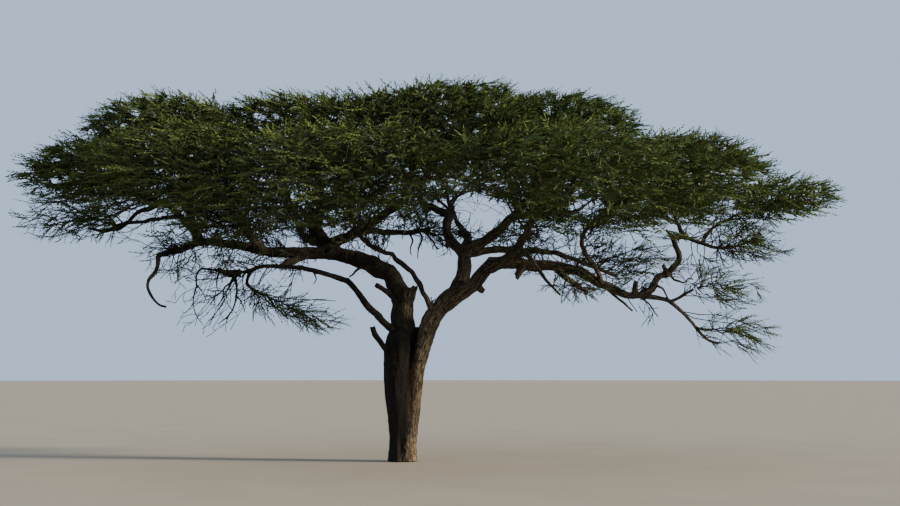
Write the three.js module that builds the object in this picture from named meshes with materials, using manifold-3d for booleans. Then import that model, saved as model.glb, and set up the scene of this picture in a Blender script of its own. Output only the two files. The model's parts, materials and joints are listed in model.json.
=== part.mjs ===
// An umbrella-crowned acacia tree: trunk, boughs and masses of foliage, in millimetres, +Z up.
// The origin is the middle of the flat cut under the trunk, at ground level.
import * as THREE from 'three';
import { mergeVertices } from 'three/addons/utils/BufferGeometryUtils.js';
import Module from 'manifold-3d';

const wasm = await Module();
wasm.setup();

// Driving sizes
const forkHeight = 3950;
const clearGap = 0.36; // between solids that meet
const massGap = 130; // from a core to the edge of its space where another mass begins
const fringeDepth = 470; // from a dense mass's core to the edge of its space, beside and above it
const hangDepth = 1250; // the same, straight below it
const core = { detail: 1, step: 0.04, lump: 0.03 };

// How a limb swells at its foot and tapers, and how finely limbs of each stoutness are divided
const limbShape = { swell: 0.18, swellReach: 2.2, taper: 0.85 };
const limbFineness = {
  stout: 200, stoutSides: 8, sides: 6, slender: 90, slenderSides: 5,
  stepLength: 500, fewestSteps: 3, mostSteps: 11,
};
const stubTaper = 0.2;

// A mass's stem runs from its limb's tip to a hub, this share of the way to its middle
const hubShare = { dense: 0.5, open: 0.35 };
const stemShape = { back: 60, ahead: 150, foot: 0.82, taper: 0.32, sides: 5, steps: 2 };
const ribs = { count: 3, sway: 0.6, out: 0.8, down: 0.6, reach: 0.62 };

// Twigs of the open masses
const openTwigs = 7;
const twigRadius = { rib: 42, thick: 30, thin: 17, shrink: 0.8 };
const twigTaper = 0.5;
const runCost = 0.4; // how much a twig would rather leave from near the limb
const goalPlace = { least: 0.5, spread: 0.35, droop: 0.4 };
const goalTries = 300;

// Leaves: each stands for a spray. Lengths are in millimetres, widths and thicknesses shares of them
const leafLength = { shortest: 480, longest: 1600, step: 50 };
const leafWaist = 0.25; // where along its length a leaf is widest
const coreLeaf = { widthShare: 0.3, thickShare: 0.09, sunk: 0.36, spread: 0.8, lift: 0.25 };
const facePlace = { least: 0.15, spread: 0.35 };
const twigLeaf = {
  longest: 1250, least: 0.7, widthShare: 0.26, thickShare: 0.07, sunk: 12,
  atTip: { spread: 0.6, place: { least: 0.97, spread: 0 } },
  along: { spread: 2.2, place: { least: 0.35, spread: 0.55 } },
};
const denseLeaves = 22;
const triesPerFace = 3;
const triesPerLeaf = 8;

// Steps that spread places evenly over one direction, and over two
const evenStep = 0.618034;
const evenRatio = 1.2207440846057596;

// Trunk: half widths across X and Y, and the middle's X, at a few heights
const trunkSections = [
  { height: 0, across: 480, deep: 460, middle: 0 },
  { height: 500, across: 450, deep: 430, middle: 10 },
  { height: 1150, across: 490, deep: 450, middle: 10 },
  { height: 1700, across: 550, deep: 480, middle: 15 },
  { height: 2500, across: 625, deep: 520, middle: 25 },
  { height: 3300, across: 690, deep: 560, middle: 90 },
  { height: 3600, across: 730, deep: 560, middle: 190 },
  { height: forkHeight, across: 650, deep: 480, middle: 270 },
];
const trunkSides = 16;
const trunkSteps = 10;
const rootFlare = { lobes: 5, out: 0.15, height: 300 };

// Boughs: each is one tapering limb, from inside what carries it, through a few places, to its tip.
// foot and tip are radii.
const boughs = {
  left_stem: {
    foot: 390, tip: 275,
    path: [[100, 0, 3800], [-50, -50, 4700], [-120, -100, 5250], [-400, -150, 5750], [-900, -200, 6080],
      [-1500, -250, 6300]],
  },
  right_stem: {
    foot: 340, tip: 290,
    path: [[620, 0, 3800], [950, 0, 4450], [1350, 50, 4900], [1800, 100, 5350]],
  },
  left_bough: {
    foot: 232, tip: 85,
    path: [[-1350, -240, 6240], [-2250, -300, 6430], [-3100, -500, 6420], [-4050, -800, 6450],
      [-5000, -1100, 6600], [-6150, -1300, 6650], [-6850, -1400, 6420], [-7400, -1500, 6250]],
  },
  left_hook: {
    foot: 70, tip: 38,
    path: [[-7370, -1490, 6260], [-7400, -1500, 5800], [-7650, -1600, 5480], [-7550, -1600, 5100],
      [-7300, -1600, 4780], [-7080, -1600, 4700]],
  },
  left_riser: {
    foot: 275, tip: 160,
    path: [[-2150, -300, 6430], [-2550, -100, 6850], [-2750, 100, 7350], [-2650, 400, 7800]],
  },
  left_dome_riser: {
    foot: 140, tip: 95,
    path: [[-6150, -1300, 6630], [-6350, -1450, 7150], [-6420, -1600, 7750]],
  },
  left_arch: {
    foot: 110, tip: 70,
    path: [[-6280, -1400, 6980], [-6580, -1300, 7300], [-6900, -1280, 7650], [-7250, -1200, 7960]],
  },
  left_reach: {
    foot: 90, tip: 70,
    path: [[-6780, -1280, 7520], [-7250, -950, 7800], [-7800, -700, 8100]],
  },
  front_left_bough: {
    foot: 130, tip: 85,
    path: [[-4280, -880, 6480], [-4350, -2000, 6600], [-4450, -3400, 6850], [-4550, -4400, 7150]],
  },
  lower_left_bough: {
    foot: 130, tip: 92,
    path: [[-60, -100, 3900], [-620, -450, 4330], [-1100, -700, 4850], [-1400, -900, 5250],
      [-1700, -1080, 5560]],
  },
  lower_left_arm: {
    foot: 92, tip: 50,
    path: [[-1660, -1060, 5520], [-2050, -1300, 5640], [-2750, -1600, 5800], [-3450, -1900, 5900],
      [-4150, -2100, 5880], [-4750, -2200, 5720], [-5400, -2200, 5750]],
  },
  left_droop: {
    foot: 55, tip: 38,
    path: [[-4450, -2150, 5800], [-4520, -2300, 5380], [-4200, -2500, 5080], [-3850, -2700, 4950],
      [-3680, -2800, 4680]],
  },
  centre_left_bough: {
    foot: 185, tip: 110,
    path: [[-2380, -200, 6700], [-1700, -400, 6950], [-1100, -800, 7250], [-500, -1200, 7550],
      [0, -1600, 7850]],
  },
  centre_low_bough: {
    foot: 120, tip: 70,
    path: [[-1650, -420, 6960], [-1000, 200, 7200], [-350, 900, 7180], [300, 1500, 7300],
      [800, 2000, 7450]],
  },
  back_left_bough: {
    foot: 150, tip: 95,
    path: [[-2420, -180, 6700], [-3000, 1200, 6950], [-3450, 2400, 7280], [-3700, 3600, 7700]],
  },
  inner_stem: {
    foot: 235, tip: 230,
    path: [[1640, 50, 5170], [1880, 300, 5750], [1900, 500, 6250], [1900, 700, 6700]],
  },
  outer_stem: {
    foot: 225, tip: 205,
    path: [[1330, 20, 4820], [1780, -60, 5160], [2180, -220, 5450], [2500, -400, 5800], [2820, -560, 6200]],
  },
  middle_bough: {
    foot: 95, tip: 66,
    path: [[980, -60, 4500], [650, -500, 5200], [350, -1100, 5750], [-100, -1800, 6100],
      [-600, -2600, 6350], [-950, -3400, 6450], [-1200, -4400, 6800]],
  },
  crook_bough: {
    foot: 165, tip: 110,
    path: [[1850, 640, 6560], [1420, 900, 7050], [1350, 1250, 7500], [1400, 1700, 7850],
      [1050, 2250, 8100], [560, 2750, 8350], [420, 3100, 8750]],
  },
  back_bough: {
    foot: 160, tip: 100,
    path: [[1900, 640, 6560], [2050, 2000, 7100], [1950, 3500, 7500], [1750, 4900, 7900]],
  },
  rise_bough: {
    foot: 185, tip: 125,
    path: [[1950, 660, 6600], [2550, 700, 6900], [3050, 600, 7250], [3450, 500, 7650], [3800, 400, 8050]],
  },
  upper_right_bough: {
    foot: 115, tip: 75,
    path: [[3420, 500, 7640], [4150, 1400, 7850], [5000, 2600, 8050], [5750, 3700, 8200]],
  },
  back_right_bough: {
    foot: 135, tip: 58,
    path: [[1980, 660, 6480], [2900, 900, 6640], [3750, 1200, 6650], [4700, 1600, 6630],
      [5450, 1900, 6450], [6200, 2200, 6200], [7000, 2400, 5900]],
  },
  right_bough: {
    foot: 215, tip: 110,
    path: [[2700, -520, 6040], [3250, -700, 6130], [3950, -800, 6050], [4650, -900, 6000],
      [5250, -1000, 5850], [5800, -1100, 5600], [6350, -1200, 5300], [6850, -1300, 5080],
      [7350, -1300, 5080]],
  },
  front_right_bough: {
    foot: 150, tip: 90,
    path: [[3100, -660, 6130], [3350, -1800, 6330], [3600, -3200, 6580], [3750, -4600, 6950]],
  },
  dead_bough: {
    foot: 110, tip: 36,
    path: [[3300, -720, 6150], [3780, -1120, 6330], [4080, -1350, 5950], [4400, -1500, 5500],
      [4800, -1600, 5050]],
  },
  stub_bough: {
    foot: 100, tip: 70,
    path: [[4600, -900, 5990], [4950, -1250, 5650], [5300, -1450, 5350], [5600, -1600, 5150]],
  },
  curl_bough: {
    foot: 80, tip: 62,
    path: [[6080, -1150, 5450], [5850, -1600, 5950], [5450, -2100, 6350], [5400, -2700, 6800],
      [5700, -3300, 7100]],
  },
  under_bough: {
    foot: 66, tip: 34,
    path: [[5780, -1080, 5600], [6400, -1050, 5150], [7050, -1000, 4600]],
  },
  right_knee: {
    foot: 115, tip: 80,
    path: [[7280, -1300, 5070], [7580, -1300, 5250], [7800, -1300, 5600], [8120, -1300, 5800],
      [8400, -1300, 6100], [8370, -1300, 6500], [8250, -1200, 6880]],
  },
  right_arm: {
    foot: 80, tip: 45,
    path: [[8250, -1210, 6800], [8650, -1200, 6850], [9100, -1200, 6700], [9500, -1200, 6560],
      [9950, -1200, 6540], [10300, -1200, 6600]],
  },
  right_riser: {
    foot: 62, tip: 48,
    path: [[8620, -1200, 6850], [8450, -1000, 7250], [8400, -700, 7700], [8450, -400, 8000]],
  },
  right_spur: {
    foot: 50, tip: 38,
    path: [[9150, -1200, 6690], [9600, -900, 7200], [10150, -600, 7500], [10600, -300, 7700]],
  },
  right_low: {
    foot: 84, tip: 42,
    path: [[7280, -1320, 5060], [7950, -1500, 4900], [8300, -1700, 4650], [8600, -1800, 4350],
      [8850, -1900, 4000], [9100, -2000, 3720], [9450, -2000, 3600]],
  },
  right_fan_bough: {
    foot: 52, tip: 36,
    path: [[8050, -1560, 4840], [8400, -1700, 5000], [8750, -1900, 5200]],
  },
};

// Broken stubs, each fused to the limb that bears it: from, to, and the radius at its foot
const stubs = [
  { on: 'trunk', from: [-350, -300, 3100], to: [-920, -420, 4120], radius: 105 },
  { on: 'left_stem', from: [-50, -150, 4900], to: [-820, -520, 5420], radius: 112 },
  { on: 'left_stem', from: [50, -120, 4750], to: [330, -200, 5400], radius: 175 },
  { on: 'outer_stem', from: [2200, -240, 5500], to: [2470, -350, 5240], radius: 120 },
  { on: 'crook_bough', from: [1380, 950, 7150], to: [1390, 900, 6760], radius: 100 },
  { on: 'right_bough', from: [3800, -800, 6050], to: [3500, -900, 5650], radius: 130 },
  { on: 'right_bough', from: [7050, -1300, 5060], to: [7120, -1300, 5480], radius: 95 },
];

// Masses of foliage. Each keeps to an egg-shaped space: its middle, its half sizes along X, Y and Z,
// and how deep it is below its middle as a share of how high it is above.
// A dense mass has a core that its leaves stand out of. An open one is twigs with leaves, or bare twigs.
const denseMasses = {
  left_tip: { from: 'left_reach', middle: [-9400, -1000, 9000], half: [2550, 3200, 1200], below: 1.35 },
  left_dome: {
    from: 'left_dome_riser', middle: [-7000, -1800, 9700], half: [3050, 3600, 1750], below: 1.25,
  },
  front_left: {
    from: 'front_left_bough', middle: [-5300, -5900, 8150], half: [3300, 3300, 1450], below: 1.45,
  },
  front_middle_left: {
    from: 'middle_bough', middle: [-1200, -7300, 7950], half: [3300, 3200, 1400], below: 1.25,
  },
  front_middle_right: {
    from: 'front_right_bough', middle: [4000, -7200, 8000], half: [3300, 3200, 1400], below: 1.15,
  },
  front_right: { from: 'curl_bough', middle: [7700, -4700, 8100], half: [2900, 3300, 1350], below: 1.35 },
  right_side: { from: 'right_riser', middle: [8700, 500, 9000], half: [2900, 3500, 1350], below: 1.25 },
  right_tip: { from: 'right_spur', middle: [11900, -300, 8300], half: [1950, 2800, 900], below: 1.1 },
  back_right: {
    from: 'upper_right_bough', middle: [6700, 5500, 9100], half: [3900, 3400, 1450], below: 1.15,
  },
  back_middle: { from: 'back_bough', middle: [1300, 7500, 9800], half: [3700, 3300, 1350], below: 1.1 },
  back_left: { from: 'back_left_bough', middle: [-4400, 5600, 9100], half: [3900, 3500, 1450], below: 1.15 },
  top_left: { from: 'left_riser', middle: [-2900, 600, 10300], half: [3500, 3500, 1400], below: 1.3 },
  top_front: {
    from: 'centre_left_bough', middle: [500, -3200, 9650], half: [3500, 3200, 1350], below: 1.05,
  },
  top_back: { from: 'crook_bough', middle: [1800, 2500, 11000], half: [3400, 3500, 1500], below: 1.1 },
  top_right: { from: 'rise_bough', middle: [4800, -300, 10200], half: [2950, 3500, 1400], below: 1.2 },
};

const openMasses = {
  left_fringe: {
    from: 'left_arch', middle: [-9300, -1900, 7300], half: [2500, 2100, 1200], leaves: 12, droop: 0.25,
  },
  left_clump: {
    from: 'left_droop', middle: [-3200, -3000, 4450], half: [2300, 1600, 1000], leaves: 12, droop: 0.3,
  },
  left_hanging: {
    from: 'lower_left_arm', middle: [-5550, -2300, 5000], half: [1500, 1200, 1350], leaves: 0, droop: 0.8,
  },
  centre_spray: {
    from: 'centre_low_bough', middle: [1050, 2350, 7700], half: [1500, 1300, 800], leaves: 7, droop: 0.1,
  },
  right_mid_spray: {
    from: 'back_right_bough', middle: [7900, 2500, 6450], half: [1600, 1300, 950], leaves: 10, droop: 0,
  },
  right_fringe: {
    from: 'right_arm', middle: [10550, -1300, 6550], half: [1550, 1500, 900], leaves: 11, droop: 0.2,
  },
  right_fan_spray: {
    from: 'right_fan_bough', middle: [9550, -2000, 5300], half: [1500, 1300, 800], leaves: 10, droop: 0.1,
  },
  right_low_spray: {
    from: 'right_low', middle: [9950, -2100, 3950], half: [1400, 1200, 950], leaves: 10, droop: 0.3,
  },
  under_spray: {
    from: 'stub_bough', middle: [5200, -1750, 5000], half: [1600, 1100, 600], leaves: 7, droop: 0.5,
  },
};
const masses = { ...denseMasses, ...openMasses };

const colours = {
  bark: { color: 0x5a4a3a, roughness: 0.95, metalness: 0 },
  deadWood: { color: 0x8a7860, roughness: 0.9, metalness: 0 },
  leaves: { color: 0x4b5f27, roughness: 0.85, metalness: 0 },
};
const deadLimbs = ['left_hook', 'dead_bough', 'under_bough'];

// A seeded stream of numbers from 0 to 1
function seeded(seed) {
  let state = seed >>> 0;
  return () => {
    state = (state + 0x6d2b79f5) >>> 0;
    let t = Math.imul(state ^ (state >>> 15), state | 1);
    t ^= t + Math.imul(t ^ (t >>> 7), t | 61);
    return ((t ^ (t >>> 14)) >>> 0) / 4294967296;
  };
}

const vector = (p) => new THREE.Vector3(...p);
const corner = (place, i) => new THREE.Vector3().fromBufferAttribute(place, i);
const countTo = (count) => [...Array(count).keys()];

// A closed geometry as a manifold solid
function solidOf(geometry) {
  const bare = geometry.clone();
  bare.deleteAttribute('normal');
  bare.deleteAttribute('uv');
  const merged = mergeVertices(bare, 1e-3);
  return new wasm.Manifold(new wasm.Mesh({
    numProp: 3,
    vertProperties: new Float32Array(merged.attributes.position.array),
    triVerts: new Uint32Array(merged.index.array),
  }));
}

function geometryOf(solid) {
  const mesh = solid.getMesh();
  const geometry = new THREE.BufferGeometry();
  geometry.setAttribute('position', new THREE.BufferAttribute(new Float32Array(mesh.vertProperties), 3));
  geometry.setIndex(new THREE.BufferAttribute(new Uint32Array(mesh.triVerts), 1));
  return geometry.toNonIndexed();
}

// The largest of a solid's separate pieces, so that loose scraps are dropped
function largestPiece(solid) {
  return solid.decompose().reduce((best, piece) => (piece.volume() > best.volume() ? piece : best));
}

// A cylinder bent along a curve, with a radius for each share of its length
function bentTube(curve, radiusAt, sides, steps, grow = 0) {
  const frames = curve.computeFrenetFrames(steps, false);
  const tube = new THREE.CylinderGeometry(1, 1, 1, sides, steps);
  const place = tube.attributes.position;
  const across = new THREE.Vector3();
  for (let i = 0; i < place.count; i++) {
    const step = Math.round((place.getY(i) + 0.5) * steps);
    const share = step / steps;
    const radius = radiusAt(share) + grow;
    const centre = curve.getPointAt(share);
    if (step === steps) centre.addScaledVector(frames.tangents[step], grow);
    if (step === 0) centre.addScaledVector(frames.tangents[step], -grow);
    across.copy(frames.normals[step]).multiplyScalar(place.getX(i) * radius);
    across.addScaledVector(frames.binormals[step], -place.getZ(i) * radius);
    place.setXYZ(i, centre.x + across.x, centre.y + across.y, centre.z + across.z);
  }
  return solidOf(tube);
}

// The trunk's half widths and middle at a height, between the sections on either side of it
function trunkAt(height) {
  const above = Math.max(1, trunkSections.findIndex((s) => s.height >= height));
  const [low, high] = [trunkSections[above - 1], trunkSections[above]];
  const share = THREE.MathUtils.smoothstep(height, low.height, high.height);
  const between = (key) => THREE.MathUtils.lerp(low[key], high[key], share);
  return { across: between('across'), deep: between('deep'), middle: between('middle') };
}

function trunkSolid(grow = 0) {
  const stack = new THREE.CylinderGeometry(1, 1, 1, trunkSides, trunkSteps);
  const place = stack.attributes.position;
  for (let i = 0; i < place.count; i++) {
    const share = place.getY(i) + 0.5;
    const height = forkHeight * share;
    const { across, deep, middle } = trunkAt(height);
    const angle = Math.atan2(place.getX(i), place.getZ(i));
    const lobe = 0.5 + 0.5 * Math.cos(rootFlare.lobes * angle);
    const out = 1 + rootFlare.out * lobe * Math.exp(-height / rootFlare.height);
    const x = middle + place.getX(i) * (across * out + grow);
    const y = -place.getZ(i) * (deep * out + grow);
    place.setXYZ(i, x, y, height + (share === 1 ? grow : 0));
  }
  return solidOf(stack);
}

// A limb swells a little where it leaves its carrier, and tapers to its tip
function limbRadius({ foot, tip }, length) {
  const { swell, swellReach, taper } = limbShape;
  return (share) => {
    const extra = swell * foot * Math.exp(-(share * length) / (swellReach * foot));
    return THREE.MathUtils.lerp(foot, tip, share ** taper) + extra;
  };
}

function limbCurve(name) {
  return new THREE.CatmullRomCurve3(boughs[name].path.map(vector));
}

function limbSides(foot) {
  if (foot > limbFineness.stout) return limbFineness.stoutSides;
  return foot > limbFineness.slender ? limbFineness.sides : limbFineness.slenderSides;
}

function limbSolid(name, grow = 0) {
  const curve = limbCurve(name);
  const length = curve.getLength();
  const { stepLength, fewestSteps, mostSteps } = limbFineness;
  const steps = THREE.MathUtils.clamp(Math.round(length / stepLength), fewestSteps, mostSteps);
  return bentTube(curve, limbRadius(boughs[name], length), limbSides(boughs[name].foot), steps, grow);
}

function stubSolid({ from, to, radius }, grow = 0) {
  const line = new THREE.LineCurve3(vector(from), vector(to));
  return bentTube(line, (share) => radius * (1 - stubTaper * share), limbFineness.sides, 1, grow);
}

// Every limb with its stubs, each cut clear of the limbs made before it
function buildLimbs() {
  const made = [];
  const withStubs = (name, solid, grow) =>
    stubs.filter((s) => s.on === name).reduce((all, s) => all.add(stubSolid(s, grow)), solid);
  const add = (name, shape) => {
    let solid = withStubs(name, shape(0), 0);
    for (const other of made) {
      if (!solid.intersect(other.grown).isEmpty()) solid = solid.subtract(other.grown);
    }
    made.push({ name, solid: largestPiece(solid), grown: withStubs(name, shape(clearGap), clearGap) });
  };
  add('trunk', trunkSolid);
  Object.keys(boughs).forEach((name) => add(name, (grow) => limbSolid(name, grow)));
  return made;
}

// How far out a point lies in a mass's space: 0 at its middle, 1 at its surface
function depthIn({ middle, half, below = 1 }, p) {
  const up = (p.z - middle[2]) / half[2];
  return Math.hypot((p.x - middle[0]) / half[0], (p.y - middle[1]) / half[1], up < 0 ? up / below : up);
}

// A point is in a mass's own space if it is inside the egg and deeper in it than in any other egg
function isInOwnSpace(name, p) {
  const own = depthIn(masses[name], p);
  return own <= 1 && Object.keys(masses).every((other) => other === name || depthIn(masses[other], p) > own);
}

// The point of a mass's space that lies this way from its middle, at this share of the way out
function eggPoint({ middle, half, below = 1 }, way, share) {
  const height = half[2] * (way.z < 0 ? below : 1);
  return new THREE.Vector3(way.x * half[0], way.y * half[1], way.z * height)
    .multiplyScalar(share)
    .add(vector(middle));
}

// The share of the way out where a mass's own space ends
function ownShare(name, way) {
  for (let tried = core.step; tried < 1; tried += core.step) {
    if (!isInOwnSpace(name, eggPoint(masses[name], way, tried))) return tried - core.step;
  }
  return 1;
}

// A dense core's surface: short of the edge of its space, and just short of the next mass
function corePoint(name, way) {
  const mass = masses[name];
  const whole = eggPoint(mass, way, 1).distanceTo(vector(mass.middle));
  const share = ownShare(name, way);
  const fringe = THREE.MathUtils.lerp(fringeDepth, hangDepth, Math.max(0, -way.z) ** 0.5);
  const reach = Math.min(whole - fringe, whole * share - massGap);
  const lumps = 1 + core.lump * Math.sin(5 * way.x + 3 * way.y) * Math.cos(4 * way.y - 2 * way.z);
  return { point: eggPoint(mass, way, (reach * lumps) / whole), isFree: share === 1 };
}

// The core, and those of its faces that look out of the crown
function buildCore(name) {
  const ball = new THREE.IcosahedronGeometry(1, core.detail);
  const place = ball.attributes.position;
  const free = [];
  for (let i = 0; i < place.count; i++) {
    const { point, isFree } = corePoint(name, corner(place, i).normalize());
    place.setXYZ(i, point.x, point.y, point.z);
    free.push(isFree);
  }
  const faces = [];
  for (let i = 0; i < place.count; i += 3) {
    if (!(free[i] && free[i + 1] && free[i + 2])) continue;
    faces.push(new THREE.Triangle(corner(place, i), corner(place, i + 1), corner(place, i + 2)));
  }
  return { solid: solidOf(ball), faces };
}

// A leaf is a long eight-faced blade
function leafSolid({ root, direction, length, spin, shape }) {
  const blade = new THREE.OctahedronGeometry(1, 0);
  const place = blade.attributes.position;
  for (let i = 0; i < place.count; i++) {
    const isTip = place.getY(i) > 0.5;
    const isRoot = place.getY(i) < -0.5;
    const along = isTip ? 1 : isRoot ? 0 : leafWaist;
    const x = (place.getX(i) * length * shape.widthShare) / 2;
    const z = (place.getZ(i) * length * shape.thickShare) / 2;
    place.setXYZ(i, x, along * length, z);
  }
  blade.applyMatrix4(new THREE.Matrix4().makeRotationY(spin));
  blade.applyQuaternion(new THREE.Quaternion().setFromUnitVectors(new THREE.Vector3(0, 1, 0), direction));
  blade.translate(root.x, root.y, root.z);
  const corners = countTo(place.count).map((i) => corner(place, i));
  return { solid: solidOf(blade), corners };
}

// A straight three-sided twig
function twigSolid(from, to, radius) {
  return bentTube(new THREE.LineCurve3(from, to), (share) => radius * (1 - twigTaper * share), 3, 1);
}

// How far one can go from a point in a direction before leaving a mass's space
function roomAhead(name, from, way) {
  let reach = leafLength.shortest / 2;
  const isFree = () => isInOwnSpace(name, from.clone().addScaledVector(way, reach + leafLength.step));
  while (reach < leafLength.longest && isFree()) reach += leafLength.step;
  return reach;
}

function scatter(random, low) {
  return new THREE.Vector3(random() - 0.5, random() - 0.5, random() - low);
}

// Leaves on a core: spread over its faces, pointing out and a little up
function coreLeaves(name, faces, random) {
  return countTo(faces.length * triesPerFace).map((k) => {
    const face = faces[Math.floor(((k * evenStep) % 1) * faces.length)];
    const [u, v] = [0, 1].map(() => facePlace.least + facePlace.spread * random());
    const root = face.a.clone().multiplyScalar(1 - u - v);
    root.addScaledVector(face.b, u).addScaledVector(face.c, v);
    const direction = face.getNormal(new THREE.Vector3());
    direction.addScaledVector(scatter(random, 0.5), coreLeaf.spread);
    direction.z += coreLeaf.lift;
    direction.normalize();
    const room = roomAhead(name, root, direction);
    const length = Math.min(leafLength.longest, room / (1 - coreLeaf.sunk));
    root.addScaledVector(direction, -length * coreLeaf.sunk);
    return { root, direction, length, spin: random() * Math.PI, shape: coreLeaf };
  });
}

// Goals for the twigs of an open mass: an even scatter, sorted by how far they are from its stem
function openGoals(name, start, random) {
  const mass = masses[name];
  const goals = [];
  for (let k = 1; goals.length < openTwigs && k < goalTries; k++) {
    const [u, v] = [1, 2].map((n) => (0.5 + k / evenRatio ** n) % 1);
    const up = 2 * v - 1 - mass.droop * goalPlace.droop;
    const flat = Math.sqrt(Math.max(0, 1 - up * up));
    const way = new THREE.Vector3(Math.cos(2 * Math.PI * u) * flat, Math.sin(2 * Math.PI * u) * flat, up);
    const goal = eggPoint(mass, way, goalPlace.least + goalPlace.spread * random());
    if (isInOwnSpace(name, goal)) goals.push(goal);
  }
  return goals.sort((a, b) => a.distanceTo(start) - b.distanceTo(start));
}

// Each twig heads for its goal from the end that reaches it most directly
function growTwigs(name, start, hub, random) {
  const ends = [{ at: hub, run: start.distanceTo(hub), radius: twigRadius.thick / twigRadius.shrink }];
  return openGoals(name, start, random).map((goal) => {
    const cost = (end) => end.at.distanceTo(goal) + runCost * end.run;
    const from = ends.reduce((best, end) => (cost(end) < cost(best) ? end : best));
    const radius = Math.max(twigRadius.thin, from.radius * twigRadius.shrink);
    ends.push({ at: goal, run: from.run + from.at.distanceTo(goal), radius });
    return { from: from.at, to: goal, radius };
  });
}

// Leaves on twigs: one at each tip and the rest along them
function twigLeaves(name, twigs, random) {
  return countTo(masses[name].leaves * triesPerLeaf).map((k) => {
    const { from, to } = twigs[k % twigs.length];
    const { spread, place } = k < twigs.length ? twigLeaf.atTip : twigLeaf.along;
    const direction = to.clone().sub(from).normalize();
    direction.addScaledVector(scatter(random, 0.4), spread).normalize();
    const root = from.clone().lerp(to, place.least + place.spread * random());
    root.addScaledVector(direction, -twigLeaf.sunk);
    const wanted = twigLeaf.longest * (twigLeaf.least + (1 - twigLeaf.least) * random());
    const length = Math.min(wanted, roomAhead(name, root, direction));
    return { root, direction, length, spin: random() * Math.PI, shape: twigLeaf };
  });
}

// Where a mass grows on from the limb that bears it
function massStem(name, isDense) {
  const mass = masses[name];
  const carrier = limbCurve(mass.from);
  const start = carrier.getPointAt(1);
  const heading = carrier.getTangentAt(1);
  const middle = vector(mass.middle);
  const hub = start.clone().lerp(middle, isDense ? hubShare.dense : hubShare.open);
  hub.addScaledVector(heading, stemShape.ahead);
  const places = [start.clone().addScaledVector(heading, -stemShape.back), start, hub];
  if (isDense) places.push(middle);
  const radiusAt = (share) => boughs[mass.from].tip * (stemShape.foot - stemShape.taper * share);
  const solid = bentTube(new THREE.CatmullRomCurve3(places), radiusAt, stemShape.sides, stemShape.steps);
  return { solid, start, hub };
}

// Ribs that hold a dense mass up from its stem
function ribsOf(name, hub, random) {
  return countTo(ribs.count).map((k) => {
    const angle = 2 * Math.PI * ((k + random() * ribs.sway) / ribs.count);
    const way = new THREE.Vector3(Math.cos(angle) * ribs.out, Math.sin(angle) * ribs.out, -ribs.down);
    return twigSolid(hub, eggPoint(masses[name], way, ribs.reach), twigRadius.rib);
  });
}

// The first of the leaves that fit: long enough, inside the mass's space, and clear of all else
function fittingLeaves(name, leaves, wanted, isClear) {
  const placed = [];
  for (const leaf of leaves) {
    if (placed.length === wanted) break;
    if (leaf.length < leafLength.shortest) continue;
    const blade = leafSolid(leaf);
    const isAlone = placed.every((other) => blade.solid.intersect(other).isEmpty());
    const isInside = blade.corners.every((p) => isInOwnSpace(name, p));
    if (isAlone && isInside && isClear(blade.solid)) placed.push(blade.solid);
  }
  return placed;
}

function buildMass(name, limbs, others) {
  const [x, y, z] = masses[name].middle;
  const isDense = name in denseMasses;
  const random = seeded(Math.abs(x * 31 + y * 7 + z));
  const near = [...limbs.map((limb) => limb.grown), ...others];
  const isClear = (piece) => near.every((other) => piece.intersect(other).isEmpty());
  const stem = massStem(name, isDense);
  const parts = [stem.solid];
  let leaves = [];
  if (isDense) {
    const middle = buildCore(name);
    parts.push(middle.solid, ...ribsOf(name, stem.hub, random).filter(isClear));
    leaves = coreLeaves(name, middle.faces, random);
  } else {
    const twigs = growTwigs(name, stem.start, stem.hub, random)
      .map((twig) => ({ ...twig, solid: twigSolid(twig.from, twig.to, twig.radius) }))
      .filter((twig) => isClear(twig.solid));
    parts.push(...twigs.map((twig) => twig.solid));
    leaves = twigLeaves(name, twigs, random);
  }
  parts.push(...fittingLeaves(name, leaves, isDense ? denseLeaves : masses[name].leaves, isClear));
  let solid = parts.reduce((all, part) => all.add(part));
  for (const other of near) {
    if (!solid.intersect(other).isEmpty()) solid = solid.subtract(other);
  }
  return largestPiece(solid);
}

function addMesh(group, name, solid, look) {
  const mesh = new THREE.Mesh(geometryOf(solid), new THREE.MeshStandardMaterial(look));
  mesh.name = name;
  group.add(mesh);
}

const tree = new THREE.Group();
const limbs = buildLimbs();
for (const { name, solid } of limbs) {
  addMesh(tree, name, solid, deadLimbs.includes(name) ? colours.deadWood : colours.bark);
}
const grownMasses = [];
for (const name of Object.keys(masses)) {
  const solid = buildMass(name, limbs, grownMasses);
  grownMasses.push(solid);
  addMesh(tree, name, solid, masses[name].leaves === 0 ? colours.bark : colours.leaves);
}

export default tree;
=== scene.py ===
import json
import math

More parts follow.
